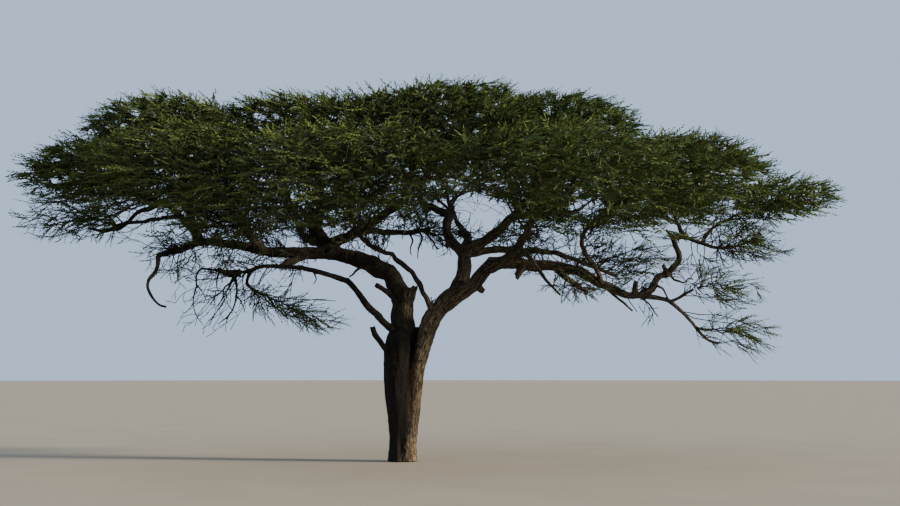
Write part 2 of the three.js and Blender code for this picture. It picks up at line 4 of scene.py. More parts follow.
import bpy
import numpy as np
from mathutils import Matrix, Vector

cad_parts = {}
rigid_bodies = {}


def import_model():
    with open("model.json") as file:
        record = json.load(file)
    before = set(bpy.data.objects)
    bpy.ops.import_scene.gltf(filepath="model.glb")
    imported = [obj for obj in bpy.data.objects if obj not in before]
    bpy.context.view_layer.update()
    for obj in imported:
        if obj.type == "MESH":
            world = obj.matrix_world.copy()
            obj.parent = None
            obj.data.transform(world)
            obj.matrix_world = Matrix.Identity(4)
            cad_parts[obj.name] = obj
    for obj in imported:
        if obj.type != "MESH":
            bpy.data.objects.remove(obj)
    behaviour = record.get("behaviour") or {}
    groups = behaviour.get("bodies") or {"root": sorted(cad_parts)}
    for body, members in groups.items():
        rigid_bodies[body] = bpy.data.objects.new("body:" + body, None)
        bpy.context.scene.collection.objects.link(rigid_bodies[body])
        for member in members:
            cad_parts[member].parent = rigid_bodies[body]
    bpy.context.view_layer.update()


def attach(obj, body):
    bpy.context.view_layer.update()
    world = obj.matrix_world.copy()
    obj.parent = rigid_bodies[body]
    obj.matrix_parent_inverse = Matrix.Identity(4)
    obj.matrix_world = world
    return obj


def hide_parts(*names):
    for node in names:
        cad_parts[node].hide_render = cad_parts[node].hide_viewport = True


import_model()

# An umbrella acacia: one skin of bark over trunk and boughs, then twigs, shoots and leaves
# that grow on from the boughs' ends, each mass of foliage in its own egg-shaped space.

dice = np.random.default_rng(3107)
view = {"place": (1.469, -42.5, 2.75), "lens": 54.4,
        "tilt": math.atan(119 / 1360)}  # the horizon lies 119 pixels low, at a focal length of 1360 pixels
up = np.array([0, 0, 1.0])


# Small tools

def unit(v):
    return v / np.maximum(np.linalg.norm(v, axis=-1, keepdims=True), 1e-9)


def heightsBy(factor):  # scales heights alone
    return np.where(up > 0, factor, 1)


def smoothNoise(points, seed=0):  # -1 to 1, about one bump a metre
    base = np.floor(points).astype(np.int64)
    part = points - base
    part = part * part * (3 - 2 * part)
    total = np.zeros(len(points))
    for corner in range(8):
        step = np.array([corner & 1, corner >> 1 & 1, corner >> 2 & 1])
        x, y, z = (base + step).T
        code = x * 73856093 ^ y * 19349663 ^ z * 83492791 ^ (seed + 1) * 2654435761
        code = (code ^ (code >> 13)) * 1274126177 & 0xffffffff
        code = (code ^ (code >> 15)) * 2246822519 & 0xffffffff
        value = (code >> 8 & 0xffff) / 32767.5 - 1
        total += value * np.prod(np.where(step == 1, part, 1 - part), axis=1)
    return total


def lineNoise(run, seed):
    return smoothNoise(np.column_stack([run, 0 * run + 0.5, 0 * run + seed * 1.7]), seed)


def hermite(a, b, leave, arrive, t):
    t = t[..., None]
    return ((2 * t**3 - 3 * t**2 + 1) * a + (t**3 - 2 * t**2 + t) * leave
            + (3 * t**2 - 2 * t**3) * b + (t**3 - t**2) * arrive)


def smoothPath(places, spacing):  # even points on a smooth line through the places, and how far along
    p = np.array(places, float)
    p = np.vstack([2 * p[0] - p[1], p, 2 * p[-1] - p[-2]])
    pieces = []
    for a, b, c, d in zip(p, p[1:], p[2:], p[3:]):
        before, here, after = (max(np.linalg.norm(v), 1e-6) ** 0.5 for v in (b - a, c - b, d - c))
        leave = ((b - a) / before - (c - a) / (before + here) + (c - b) / here) * here
        arrive = ((c - b) / here - (d - b) / (here + after) + (d - c) / after) * here
        pieces.append(hermite(b, c, leave, arrive, np.linspace(0, 1, 40, endpoint=False)))
    dense = np.vstack([*pieces, p[-2]])
    run = np.concatenate([[0], np.cumsum(np.linalg.norm(np.diff(dense, axis=0), axis=1))])
    at = np.linspace(0, run[-1], max(3, int(round(run[-1] / spacing)) + 1))
    return np.column_stack([np.interp(at, run, dense[:, k]) for k in range(3)]), at


def framesAlong(path):  # tangents and two steady cross directions
    tangent = unit(np.gradient(path, axis=0))
    side = np.zeros_like(path)
    last = np.cross(tangent[0], up if abs(tangent[0][2]) < 0.8 else [1.0, 0, 0])
    for k, way in enumerate(tangent):
        last = side[k] = unit(last - way * np.dot(last, way))
    return tangent, side, np.cross(tangent, side)


def circle(count):  # cosines and sines of even angles, as columns
    angle = np.linspace(0, 2 * math.pi, count, endpoint=False)[:, None]
    return np.cos(angle), np.sin(angle)


def ringFaces(rings, sides, isClosed=False):  # triangles between rings of points, and fans over the ends
    i, j = np.arange(rings - 1)[:, None] * sides, np.arange(sides)
    after = (j + 1) % sides
    quads = np.stack([i + j, i + after, i + sides + after, i + sides + j], axis=-1).reshape(-1, 4)
    faces = [quads[:, [0, 1, 2]], quads[:, [0, 2, 3]]]
    if isClosed:
        last, middle = (rings - 1) * sides, 0 * j + rings * sides
        faces += [np.column_stack([after, j, middle]), np.column_stack([last + j, last + after, middle + 1])]
    return np.concatenate(faces)


def repeated(points, faces):  # many alike, each with its own points, as one set of points and faces
    start = np.arange(len(points))[:, None, None] * points.shape[1]
    return points.reshape(-1, 3), (start + faces).reshape(-1, 3)


def joined(parts):
    starts = np.cumsum([0] + [len(points) for points, _ in parts])
    return (np.concatenate([points for points, _ in parts]),
            np.concatenate([faces + start for start, (_, faces) in zip(starts, parts)]))


def setPoints(mesh, points):
    mesh.vertices.foreach_set("co", points.astype(np.float32).ravel())
    mesh.update()


def numbersOf(items, name, width=3, kind=np.float32):
    numbers = np.zeros(len(items) * width, kind)
    items.foreach_get(name, numbers)
    return numbers.reshape(-1, width)


def newMesh(points, faces):
    mesh = bpy.data.meshes.new("mesh")
    mesh.vertices.add(len(points))
    mesh.loops.add(faces.size)
    mesh.loops.foreach_set("vertex_index", faces.astype(np.int32).ravel())
    mesh.polygons.add(len(faces))
    mesh.polygons.foreach_set("loop_start", np.arange(0, faces.size, 3, dtype=np.int32))
    setPoints(mesh, points)
    mesh.update(calc_edges=True)
    return mesh


def placed(name, data):
    thing = bpy.data.objects.new(name, data)
    bpy.context.scene.collection.objects.link(thing)
    return thing


def newPiece(name, mesh, material, nodes, smooth=True):
    piece = placed(name, mesh)
    mesh.materials.append(material)
    mesh.polygons.foreach_set("use_smooth", np.full(len(mesh.polygons), smooth))
    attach(piece, "root")
    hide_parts(*nodes)
    print(f"{name}: {len(mesh.loops) - 2 * len(mesh.polygons)} triangles")


# Shader maths as plain expressions

class Wire:
    def __init__(self, sheet, socket):
        self.sheet, self.socket = sheet, socket

    def calc(self, operation, first, second):
        return self.sheet.node("ShaderNodeMath", {"operation": operation}, {0: first, 1: second})

    def __add__(self, other):
        return self.calc("ADD", self, other)

    def __sub__(self, other):
        return self.calc("SUBTRACT", self, other)

    def __rsub__(self, other):
        return self.calc("SUBTRACT", other, self)

    def __mul__(self, other):
        return self.calc("MULTIPLY", self, other)

    __radd__, __rmul__ = __add__, __mul__


class Sheet:
    def __init__(self, name):
        self.material = bpy.data.materials.new(name)
        self.material.use_nodes = True
        self.tree = self.material.node_tree
        self.shader = self.tree.nodes["Principled BSDF"]
        self.place = self.node("ShaderNodeTexCoord", {}, {}, "Object")

    def node(self, kind, settings, sockets, out=0):
        made = self.tree.nodes.new(kind)
        for key, value in settings.items():
            if key == "stops":
                fillRamp(made.color_ramp, value)
            else:
                setattr(made, key, value)
        for key, value in sockets.items():
            if isinstance(value, Wire):
                self.tree.links.new(value.socket, made.inputs[key])
            else:
                made.inputs[key].default_value = value
        return Wire(self, made.outputs[out])

    def noise(self, scale, detail, rough, place=None):
        sockets = {"Vector": place or self.place, "Scale": scale, "Detail": detail, "Roughness": rough}
        return self.node("ShaderNodeTexNoise", {}, sockets, "Fac")

    def ramp(self, value, *stops):
        return self.node("ShaderNodeValToRGB", {"stops": stops}, {0: value}, "Color")

    def level(self, value, low, high, start=0.0, end=1.0):
        return self.node("ShaderNodeMapRange", {"interpolation_type": "SMOOTHSTEP"},
                         {0: value, 1: low, 2: high, 3: start, 4: end})

    def band(self, value, low, full, fading, high):
        return self.level(value, low, full) * self.level(value, fading, high, 1.0, 0.0)

    def blend(self, share, first, second):
        first, second = (c if isinstance(c, Wire) else (*c, 1) for c in (first, second))
        return self.node("ShaderNodeMix", {"data_type": "RGBA"}, {0: share, 6: first, 7: second}, 2)

    def finish(self, colour, rough, specular, height=None, depth=0.0, strength=1.0):
        wires = {"Base Color": colour, "Roughness": rough}
        if height:
            sockets = {"Height": height, "Distance": depth, "Strength": strength}
            wires["Normal"] = self.node("ShaderNodeBump", {}, sockets)
        for name, wire in wires.items():
            self.tree.links.new(wire.socket, self.shader.inputs[name])
        self.shader.inputs["Specular IOR Level"].default_value = specular
        return self.material


def fillRamp(ramp, stops):
    while len(ramp.elements) < len(stops):
        ramp.elements.new(0.5)
    for element, (at, colour) in zip(ramp.elements, stops):
        element.position = at
        element.color = (*colour, 1)


# Bark tones. The palest is painted sunlight, for the side the sun falls on; the dark "shade" tone is dark
# bark and also serves for painted shade
barkTones = {
    "crack": (0.005, 0.004, 0.0027), "shade": (0.0105, 0.0083, 0.0055), "plate": (0.0275, 0.0225, 0.014),
    "weathered": (0.058, 0.048, 0.030), "worn": (0.215, 0.162, 0.097), "red": (0.100, 0.043, 0.022),
}
deadTones = {
    "crack": (0.012, 0.010, 0.007), "shade": (0.030, 0.024, 0.017), "plate": (0.064, 0.052, 0.037),
    "weathered": (0.130, 0.110, 0.080),
}


def barkMaterial(name, tones):
    sheet = Sheet(name)
    relief = sheet.node("ShaderNodeAttribute", {"attribute_name": "relief"}, {}, "Fac")
    along = sheet.node("ShaderNodeAttribute", {"attribute_name": "along"}, {}, "Vector")
    stretched = [sheet.node("ShaderNodeVectorMath", {"operation": "MULTIPLY"}, {0: along, 1: scale})
                 for scale in ((34, 34, 4.5), (13, 13, 2.0))]
    streaks = sheet.noise(1.0, 4, 0.6, stretched[0])
    fissures = sheet.noise(1.0, 3, 0.55, stretched[1])
    fissures = sheet.node("ShaderNodeMath", {"operation": "ABSOLUTE"}, {0: fissures - 0.5})
    patches = sheet.noise(1.3, 4, 0.6)
    grain = sheet.noise(46, 3, 0.65)
    plate = sheet.ramp(patches * 0.5 + streaks * 0.5, (0.36, tones["shade"]), (0.5, tones["plate"]),
                       (0.64, tones["weathered"]))
    if "worn" in tones:  # painted light and shade: the right column and stem painted pale as sunlit, the left side and the boughs under the crown painted dark as shade, and a reddish band of bark
        x, z = (sheet.node("ShaderNodeSeparateXYZ", {}, {0: sheet.place}, axis) for axis in "XZ")
        aside = x - z * 0.11
        # painted shade: the left side of the trunk, below the fork, blended to the dark tone
        shaded = (sheet.level(aside + patches * 0.3, 0.10, 0.30, 1.0, 0.0)
                  * sheet.level(z, 3.7, 4.5, 1.0, 0.15))
        plate = sheet.blend(shaded, plate, tones["shade"])
        # painted shade under the crown: the boughs darker above 5.2 m, more so on the left
        under = sheet.level(z, 5.2, 6.3) * sheet.level(x, -0.5, 1.5, 0.55, 0.25)
        plate = sheet.blend(under, plate, tones["shade"])
        # painted sunlight: the right column and stem pale in streaks, less so up the boughs
        side = sheet.level(aside + patches * 0.5, 0.20, 0.42) * sheet.level(z, 4.2, 6.0, 1.0, 0.35)
        # painted light: a pale patch round the stub on the left stem, painted as sunlit
        paintedLitScar = sheet.band(x, 0.0, 0.16, 0.45, 0.6) * sheet.band(z, 4.3, 4.6, 5.3, 5.6)
        side = sheet.node("ShaderNodeMath", {"operation": "MAXIMUM"}, {0: side, 1: paintedLitScar})
        plate = sheet.blend(side * sheet.level(streaks, 0.40, 0.53, 0.05, 1.0), plate, tones["worn"])
        red = sheet.band(aside, -0.10, 0.0, 0.10, 0.18) * sheet.band(z, 1.2, 2.0, 3.0, 3.5)
        plate = sheet.blend(red * sheet.level(patches + streaks, 0.85, 1.1, 0.1, 0.7), plate, tones["red"])
    plate = sheet.blend(sheet.level(streaks, 0.50, 0.66, 0.0, 0.8), plate, tones["shade"])
    isPlate = (sheet.level(fissures, 0.0, 0.06, 0.1, 1.0)
               * sheet.level(relief + streaks * 0.4, 0.15, 0.65, 0.25, 1.0))
    height = grain * 0.25 + streaks * 0.45 + sheet.level(fissures, 0.0, 0.08) * 0.5
    return sheet.finish(sheet.blend(isPlate, tones["crack"], plate), sheet.level(grain, 0.2, 0.8, 0.80, 0.97),
                        0.2, height, 0.035)


twigTones = ((0.009, 0.0072, 0.005), (0.018, 0.0143, 0.010), (0.030, 0.0245, 0.017))
shootTones = ((0.024, 0.026, 0.010), (0.046, 0.050, 0.018), (0.085, 0.085, 0.034))


def twigMaterial(name, tones):
    sheet = Sheet(name)
    patches = sheet.noise(2.3, 3, 0.6)
    grain = sheet.noise(55, 3, 0.6)
    colour = sheet.ramp(patches * 0.55 + grain * 0.45, *zip((0.36, 0.5, 0.66), tones))
    return sheet.finish(colour, sheet.level(grain, 0.2, 0.8, 0.72, 0.95), 0.25, grain, 0.004, 0.6)


# Leaf greens: for inner leaves, a dark one that is painted shade and a lighter one that is painted light on
# the sunny side;
# for sprays, four from the deep inside of the crown to the young shoots on top, dealt out partly by painted
# light
leafTones = {
    "inner": (0.0250, 0.0360, 0.0095), "shaded": (0.0530, 0.0770, 0.0205), "deep": (0.0420, 0.0620, 0.0140),
    "green": (0.0540, 0.0810, 0.0170), "fresh": (0.0660, 0.0990, 0.0205), "sunny": (0.0770, 0.1120, 0.0240),
}
leafGrain = {"noise": (26, 2, 0.5), "reach": 0.18, "contrast": 0.28, "rough": (0.3, 0.7, 0.6, 0.78),
             "specular": 0.12}


def grainMaterial(name, tone, grain):  # one tone, darker and lighter from place to place
    sheet = Sheet(name)
    fine = sheet.noise(*grain["noise"])
    stops = [(0.5 + k * grain["reach"], [c * (1 + k * grain["contrast"]) for c in tone]) for k in (-1, 0, 1)]
    return sheet.finish(sheet.ramp(fine, *stops), sheet.level(fine, *grain["rough"]), grain["specular"])


# Trunk and boughs

# The trunk is fused columns. Each: height, middle's X and Y, half widths across X and Y
trunk = {
    "rings": 60, "sides": 48, "bulge": 0.09, "lobes": 5, "flareOut": 0.12, "flareHeight": 0.3,
    "columns": {
        "left": [(0, -0.13, 0, 0.34, 0.44), (0.56, -0.13, 0, 0.31, 0.42), (1.12, -0.13, 0, 0.35, 0.44),
                 (1.7, -0.13, 0, 0.41, 0.47), (2.3, -0.14, 0, 0.45, 0.5), (2.8, -0.15, 0, 0.46, 0.52),
                 (3.4, -0.14, -0.02, 0.45, 0.5), (3.9, -0.1, -0.03, 0.385, 0.42), (4.3, -0.02, 0, 0.3, 0.32),
                 (4.45, 0, 0, 0.18, 0.18)],
        "right": [(0, 0.2, -0.1, 0.27, 0.3), (0.56, 0.2, -0.11, 0.245, 0.28),
                  (1.12, 0.255, -0.12, 0.235, 0.27), (1.7, 0.325, -0.12, 0.24, 0.28),
                  (2.3, 0.375, -0.12, 0.25, 0.29), (2.8, 0.42, -0.11, 0.265, 0.31),
                  (3.4, 0.57, -0.08, 0.285, 0.33), (3.95, 0.73, -0.03, 0.265, 0.31),
                  (4.35, 0.9, 0, 0.23, 0.26), (4.6, 1.04, 0, 0.14, 0.14)],
        "back": [(0, 0.1, 0.18, 0.29, 0.27), (1.12, 0.14, 0.2, 0.3, 0.25), (2.3, 0.18, 0.22, 0.37, 0.28),
                 (3.4, 0.28, 0.22, 0.44, 0.3), (4, 0.42, 0.22, 0.36, 0.22), (4.16, 0.44, 0.2, 0.2, 0.14)],
        "between": [(0, 0.08, -0.13, 0.26, 0.275), (1.12, 0.11, -0.14, 0.27, 0.28),
                    (2, 0.14, -0.14, 0.28, 0.28), (2.8, 0.17, -0.1, 0.23, 0.25),
                    (3.2, 0.22, -0.04, 0.14, 0.15)],
    },
}

pathStep = 0.06  # between the points of a limb's centreline

# Each limb: radius at its foot, radius at its tip, and the places it passes through
limbs = {
    "left_stem": (0.33, 0.275, [(-0.02, 0, 3.8), (-0.02, -0.05, 4.6), (-0.12, -0.1, 5.25),
        (-0.4, -0.15, 5.75), (-0.9, -0.2, 6.08), (-1.5, -0.25, 6.3)]),
    "right_stem": (0.27, 0.275, [(0.66, 0, 3.8), (0.97, 0, 4.45), (1.35, 0.05, 4.9), (1.8, 0.1, 5.35)]),
    "left_bough": (0.232, 0.085, [(-1.35, -0.24, 6.24), (-2.25, -0.3, 6.43), (-3.1, -0.5, 6.42),
        (-4.05, -0.8, 6.45), (-5, -1.1, 6.6), (-6.15, -1.3, 6.65), (-6.85, -1.4, 6.42), (-7.4, -1.5, 6.25)]),
    "left_hook": (0.07, 0.038, [(-7.37, -1.49, 6.26), (-7.4, -1.5, 5.8), (-7.65, -1.6, 5.48),
        (-7.55, -1.6, 5.1), (-7.3, -1.6, 4.78), (-7.08, -1.6, 4.7)]),
    "left_riser": (0.275, 0.16, [(-2.15, -0.3, 6.43), (-2.55, -0.1, 6.85), (-2.75, 0.1, 7.35),
        (-2.65, 0.4, 7.8)]),
    "left_dome_riser": (0.165, 0.12, [(-6.15, -1.3, 6.63), (-6.35, -1.45, 7.15), (-6.42, -1.6, 7.75)]),
    "left_arch": (0.11, 0.085, [(-6.28, -1.4, 6.98), (-6.58, -1.3, 7.3), (-6.9, -1.28, 7.65),
        (-7.25, -1.2, 7.96)]),
    "left_reach": (0.09, 0.07, [(-6.78, -1.28, 7.52), (-7.25, -0.95, 7.8), (-7.8, -0.7, 8.1)]),
    "front_left_bough": (0.13, 0.085, [(-4.28, -0.88, 6.48), (-4.35, -2, 6.6), (-4.45, -3.4, 6.85),
        (-4.55, -4.4, 7.15)]),
    "lower_left_bough": (0.13, 0.092, [(-0.06, -0.1, 3.9), (-0.62, -0.45, 4.33), (-1.1, -0.7, 4.85),
        (-1.4, -0.9, 5.25), (-1.7, -1.08, 5.56)]),
    "lower_left_arm": (0.092, 0.05, [(-1.66, -1.06, 5.52), (-2.05, -1.3, 5.64), (-2.75, -1.6, 5.8),
        (-3.45, -1.9, 5.9), (-4.15, -2.1, 5.88), (-4.75, -2.2, 5.72), (-5.4, -2.2, 5.75)]),
    "left_droop": (0.055, 0.038, [(-4.45, -2.15, 5.8), (-4.52, -2.3, 5.38), (-4.2, -2.5, 5.08),
        (-3.85, -2.7, 4.95), (-3.68, -2.8, 4.68)]),
    "centre_left_bough": (0.185, 0.11, [(-2.38, -0.2, 6.7), (-1.7, -0.4, 6.95), (-1.1, -0.8, 7.25),
        (-0.5, -1.2, 7.55), (0, -1.6, 7.85)]),
    "centre_low_bough": (0.12, 0.07, [(-1.65, -0.42, 6.96), (-1, 0.2, 7.2), (-0.35, 0.9, 7.18),
        (0.3, 1.5, 7.3), (0.8, 2, 7.45)]),
    "back_left_bough": (0.15, 0.095, [(-2.42, -0.18, 6.7), (-3, 1.2, 6.95), (-3.45, 2.4, 7.28),
        (-3.7, 3.6, 7.7)]),
    "inner_stem": (0.235, 0.23, [(1.64, 0.05, 5.17), (1.88, 0.3, 5.75), (1.9, 0.5, 6.25), (1.9, 0.7, 6.7)]),
    "outer_stem": (0.225, 0.205, [(1.33, 0.02, 4.82), (1.78, -0.06, 5.16), (2.18, -0.22, 5.45),
        (2.5, -0.4, 5.8), (2.82, -0.56, 6.2)]),
    "middle_bough": (0.095, 0.066, [(0.98, -0.06, 4.5), (0.65, -0.5, 5.2), (0.35, -1.1, 5.75),
        (-0.1, -1.8, 6.1), (-0.6, -2.6, 6.35), (-0.95, -3.4, 6.45), (-1.2, -4.4, 6.8)]),
    "crook_bough": (0.165, 0.11, [(1.85, 0.64, 6.56), (1.42, 0.9, 7.05), (1.35, 1.25, 7.5), (1.4, 1.7, 7.85),
        (1.05, 2.25, 8.1), (0.56, 2.75, 8.35), (0.42, 3.1, 8.75)]),
    "back_bough": (0.16, 0.1, [(1.9, 0.64, 6.56), (2.05, 2, 7.1), (1.95, 3.5, 7.5), (1.75, 4.9, 7.9)]),
    "rise_bough": (0.185, 0.125, [(1.95, 0.66, 6.6), (2.55, 0.7, 6.9), (3.05, 0.6, 7.25), (3.45, 0.5, 7.65),
        (3.8, 0.4, 8.05)]),
    "upper_right_bough": (0.115, 0.075, [(3.42, 0.5, 7.64), (4.15, 1.4, 7.85), (5, 2.6, 8.05),
        (5.75, 3.7, 8.2)]),
    "back_right_bough": (0.135, 0.058, [(1.98, 0.66, 6.48), (2.9, 0.9, 6.64), (3.75, 1.2, 6.65),
        (4.7, 1.6, 6.63), (5.45, 1.9, 6.45), (6.2, 2.2, 6.2), (7, 2.4, 5.9)]),
    "right_bough": (0.215, 0.11, [(2.7, -0.52, 6.04), (3.25, -0.7, 6.13), (3.95, -0.8, 6.05), (4.65, -0.9, 6),
        (5.25, -1, 5.85), (5.8, -1.1, 5.6), (6.35, -1.2, 5.3), (6.85, -1.3, 5.08), (7.35, -1.3, 5.08)]),
    "front_right_bough": (0.15, 0.09, [(3.1, -0.66, 6.13), (3.35, -1.8, 6.33), (3.6, -3.2, 6.58),
        (3.75, -4.6, 6.95)]),
    "dead_bough": (0.11, 0.036, [(3.3, -0.72, 6.15), (3.78, -1.12, 6.33), (4.08, -1.35, 5.95),
        (4.4, -1.5, 5.5), (4.8, -1.6, 5.05)]),
    "stub_bough": (0.1, 0.07, [(4.6, -0.9, 5.99), (4.95, -1.25, 5.65), (5.3, -1.45, 5.35),
        (5.6, -1.6, 5.15)]),
    "curl_bough": (0.08, 0.062, [(6.08, -1.15, 5.45), (5.85, -1.6, 5.95), (5.45, -2.1, 6.35),
        (5.4, -2.7, 6.8), (5.7, -3.3, 7.1)]),
    "under_bough": (0.066, 0.034, [(5.78, -1.08, 5.6), (6.4, -1.05, 5.15), (7.05, -1, 4.6)]),
    "right_knee": (0.115, 0.08, [(7.28, -1.3, 5.07), (7.58, -1.3, 5.25), (7.8, -1.3, 5.6), (8.12, -1.3, 5.8),
        (8.4, -1.3, 6.1), (8.37, -1.3, 6.5), (8.25, -1.2, 6.88)]),
    "right_arm": (0.08, 0.045, [(8.25, -1.21, 6.8), (8.65, -1.2, 6.85), (9.1, -1.2, 6.7), (9.5, -1.2, 6.56),
        (9.95, -1.2, 6.54), (10.3, -1.2, 6.6)]),
    "right_riser": (0.062, 0.048, [(8.62, -1.2, 6.85), (8.45, -1, 7.25), (8.4, -0.7, 7.7), (8.45, -0.4, 8)]),
    "right_spur": (0.05, 0.038, [(9.15, -1.2, 6.69), (9.6, -0.9, 7.2), (10.15, -0.6, 7.5),
        (10.6, -0.3, 7.7)]),
    "right_low": (0.084, 0.042, [(7.28, -1.32, 5.06), (7.95, -1.5, 4.9), (8.3, -1.7, 4.65), (8.6, -1.8, 4.35),
        (8.85, -1.9, 4), (9.1, -2, 3.72), (9.45, -2, 3.6)]),
    "right_fan_bough": (0.052, 0.036, [(8.05, -1.56, 4.84), (8.4, -1.7, 5), (8.75, -1.9, 5.2)]),
}

# Broken stubs: from, to, and the radius at the foot
stubs = [
    ((-0.35, -0.3, 3.1), (-0.92, -0.42, 4.12), 0.105),
    ((-0.05, -0.15, 4.9), (-0.82, -0.52, 5.42), 0.112),
    ((0.05, -0.12, 4.75), (0.33, -0.2, 5.4), 0.175),
    ((2.2, -0.24, 5.5), (2.47, -0.35, 5.24), 0.12),
    ((1.38, 0.95, 7.15), (1.39, 0.9, 6.76), 0.1),
    ((3.8, -0.8, 6.05), (3.5, -0.9, 5.65), 0.13),
    ((7.05, -1.3, 5.06), (7.12, -1.3, 5.48), 0.095),
]

# Small knobs, spurs and snapped twigs on the boughs: foot radius, tip radius, places
spurs = [
    (0.06, 0.022, [(0.99, -0.03, 4.6), (0.9, -0.16, 4.92), (0.88, -0.2, 5.1)]),
    (0.035, 0.016, [(0.9, -0.16, 4.86), (1.04, -0.26, 5.04)]),
    (0.075, 0.045, [(8.36, -1.28, 6.76), (8.16, -1.27, 6.92), (8.05, -1.3, 7.06)]),
    (0.09, 0.062, [(8.1, -1.3, 5.62), (8.03, -1.31, 5.8), (7.93, -1.33, 5.99)]),
    (0.046, 0.024, [(7.72, -1.36, 5.36), (7.88, -1.48, 5.28), (7.98, -1.55, 5.06), (8.08, -1.6, 4.9)]),
    (0.046, 0.02, [(7.2, -1.32, 5.04), (7.44, -1.38, 4.84), (7.6, -1.42, 4.62), (7.76, -1.45, 4.4)]),
    (0.052, 0.024, [(8.12, -1.3, 5.84), (8.2, -1.33, 5.62), (8.36, -1.35, 5.5), (8.58, -1.35, 5.45),
        (8.72, -1.33, 5.58), (8.86, -1.3, 5.54)]),
    (0.075, 0.05, [(-1.44, -0.92, 5.28), (-1.57, -1.06, 5.46), (-1.68, -1.14, 5.6)]),
    (0.04, 0.02, [(0.16, 1.38, 7.24), (0.26, 1.36, 6.96), (0.18, 1.34, 6.74), (0.22, 1.34, 6.5)]),
    (0.042, 0.02, [(0.46, 1.66, 7.34), (0.56, 1.54, 7.06), (0.44, 1.48, 6.72), (0.42, 1.45, 6.4)]),
    (0.044, 0.026, [(0.58, 1.78, 7.38), (0.8, 1.66, 7.14), (0.96, 1.6, 6.9), (1.1, 1.55, 6.72)]),
    (0.03, 0.014, [(-6.96, -1.38, 6.42), (-7, -1.36, 6.66), (-6.94, -1.4, 6.9)]),
    (0.034, 0.014, [(-2.66, -1.56, 5.78), (-2.56, -1.58, 5.56), (-2.66, -1.62, 5.36)]),
    (0.03, 0.012, [(-0.92, -0.62, 4.66), (-1.08, -0.7, 4.52)]),
    (0.085, 0.045, [(-7.22, -1.2, 7.94), (-7.6, -1.35, 7.74), (-8.02, -1.5, 7.54), (-8.38, -1.6, 7.2),
        (-8.8, -1.7, 6.99), (-9.41, -1.85, 7.05)]),
    (0.03, 0.014, [(-8.4, -1.6, 7.2), (-8.62, -1.62, 7.42), (-9.05, -1.66, 7.5)]),
    (0.048, 0.018, [(-4.95, -2.2, 5.7), (-4.86, -2.25, 5.18), (-4.92, -2.3, 4.64), (-5.1, -2.32, 4.38),
        (-5.4, -2.35, 4.14)]),
    (0.034, 0.013, [(-4.88, -2.24, 5.05), (-4.71, -2.2, 4.79), (-4.6, -2.15, 4.5)]),
    (0.036, 0.013, [(-4.96, -2.22, 5.48), (-5.19, -2.3, 5.06), (-5.34, -2.4, 4.73), (-5.4, -2.42, 4.5)]),
    (0.028, 0.011, [(-5.02, -2.32, 4.5), (-5.14, -2.3, 4.23), (-5.16, -2.26, 3.92)]),
    (0.044, 0.015, [(-5.35, -2.2, 5.74), (-5.96, -2.25, 5.77), (-6.05, -2.3, 5.29), (-6.13, -2.3, 4.82),
        (-6.02, -2.3, 4.41), (-5.81, -2.28, 4.11)]),
    (0.03, 0.012, [(-6.04, -2.3, 5.32), (-5.84, -2.24, 5.06), (-5.7, -2.2, 4.76)]),
    (0.032, 0.012, [(-5.36, -2.2, 5.74), (-5.48, -2.1, 5.4), (-5.44, -2.02, 5.02), (-5.58, -1.98, 4.8)]),
    (0.02, 0.009, [(-3.42, -1.88, 5.88), (-3.56, -1.95, 5.52), (-3.8, -2.02, 5.3)]),
    (0.15, 0.08, [(-2.95, -0.48, 6.4), (-3.28, -0.85, 6.2), (-3.5, -1.45, 6.02), (-3.6, -1.88, 5.93)]),
    (0.11, 0.07, [(-4.75, -2.2, 5.68), (-5.1, -2.2, 5.66), (-5.45, -2.2, 5.8)]),
    (0.06, 0.03, [(-1.22, -0.36, 6.02), (-1.42, -0.62, 5.86), (-1.62, -0.86, 5.66)]),
    (0.04, 0.016, [(4, -0.84, 6.08), (4.12, -0.98, 6.36), (4.36, -1.06, 6.52)]),
    (0.045, 0.02, [(5.3, -1.02, 5.82), (5.42, -1.1, 6.08), (5.7, -1.22, 6.24)]),
]

deadLimbs = ["left_hook", "dead_bough", "under_bough"]

bark = {
    "voxel": 0.018, "keep": 0.14,        # fineness of the skin, and the share of its faces kept
    "plateShare": 0.10, "plateWidth": (0.020, 0.046), "plateLength": 7,
    "depthShare": 0.11, "depth": 0.032, "fluteDepth": 0.07,
    "swell": 0.18,                                   # at a limb's foot
    "bulges": ((0.13, 0.33, 0), (0.07, 0.12, 50)),   # along it: height, length, noise
    "wander": 0.42, "sideWidth": 0.045, "limbStep": 13.7,
}

tubes = {"live": [], "dead": []}
lines = []  # every centreline with its cross directions, to tell where a point of the skin lies on its limb


def columnTube(sections):
    rings, sides = trunk["rings"], trunk["sides"]
    table = np.array(sections)
    heights = np.linspace(0, sections[-1][0], rings)
    middleX, middleY, across, deep = (np.interp(heights, table[:, 0], column) for column in table[:, 1:].T)
    angle = np.linspace(0, 2 * math.pi, sides, endpoint=False)
    lobe = 0.5 + 0.5 * np.cos(trunk["lobes"] * angle)
    out = 1 + trunk["flareOut"] * lobe * np.exp(-heights[:, None] / trunk["flareHeight"])
    around = np.column_stack([2.4 * np.tile(np.cos(angle), rings), 2.4 * np.tile(np.sin(angle), rings),
                              heights.repeat(sides) / 0.8])
    bulge = smoothNoise(around + middleX[0] * 20, 17).reshape(rings, sides)
    out = out * (1 + trunk["bulge"] * bulge)
    points = np.stack([middleX[:, None] + across[:, None] * out * np.sin(angle),
                       middleY[:, None] - deep[:, None] * out * np.cos(angle),
                       heights[:, None] + 0 * out], axis=-1)
    centre = np.column_stack([middleX, middleY, heights])
    solid = np.vstack([points.reshape(-1, 3), centre[[0, -1]]]), ringFaces(rings, sides, True)
    return solid, centre, heights, (across + deep) / 2


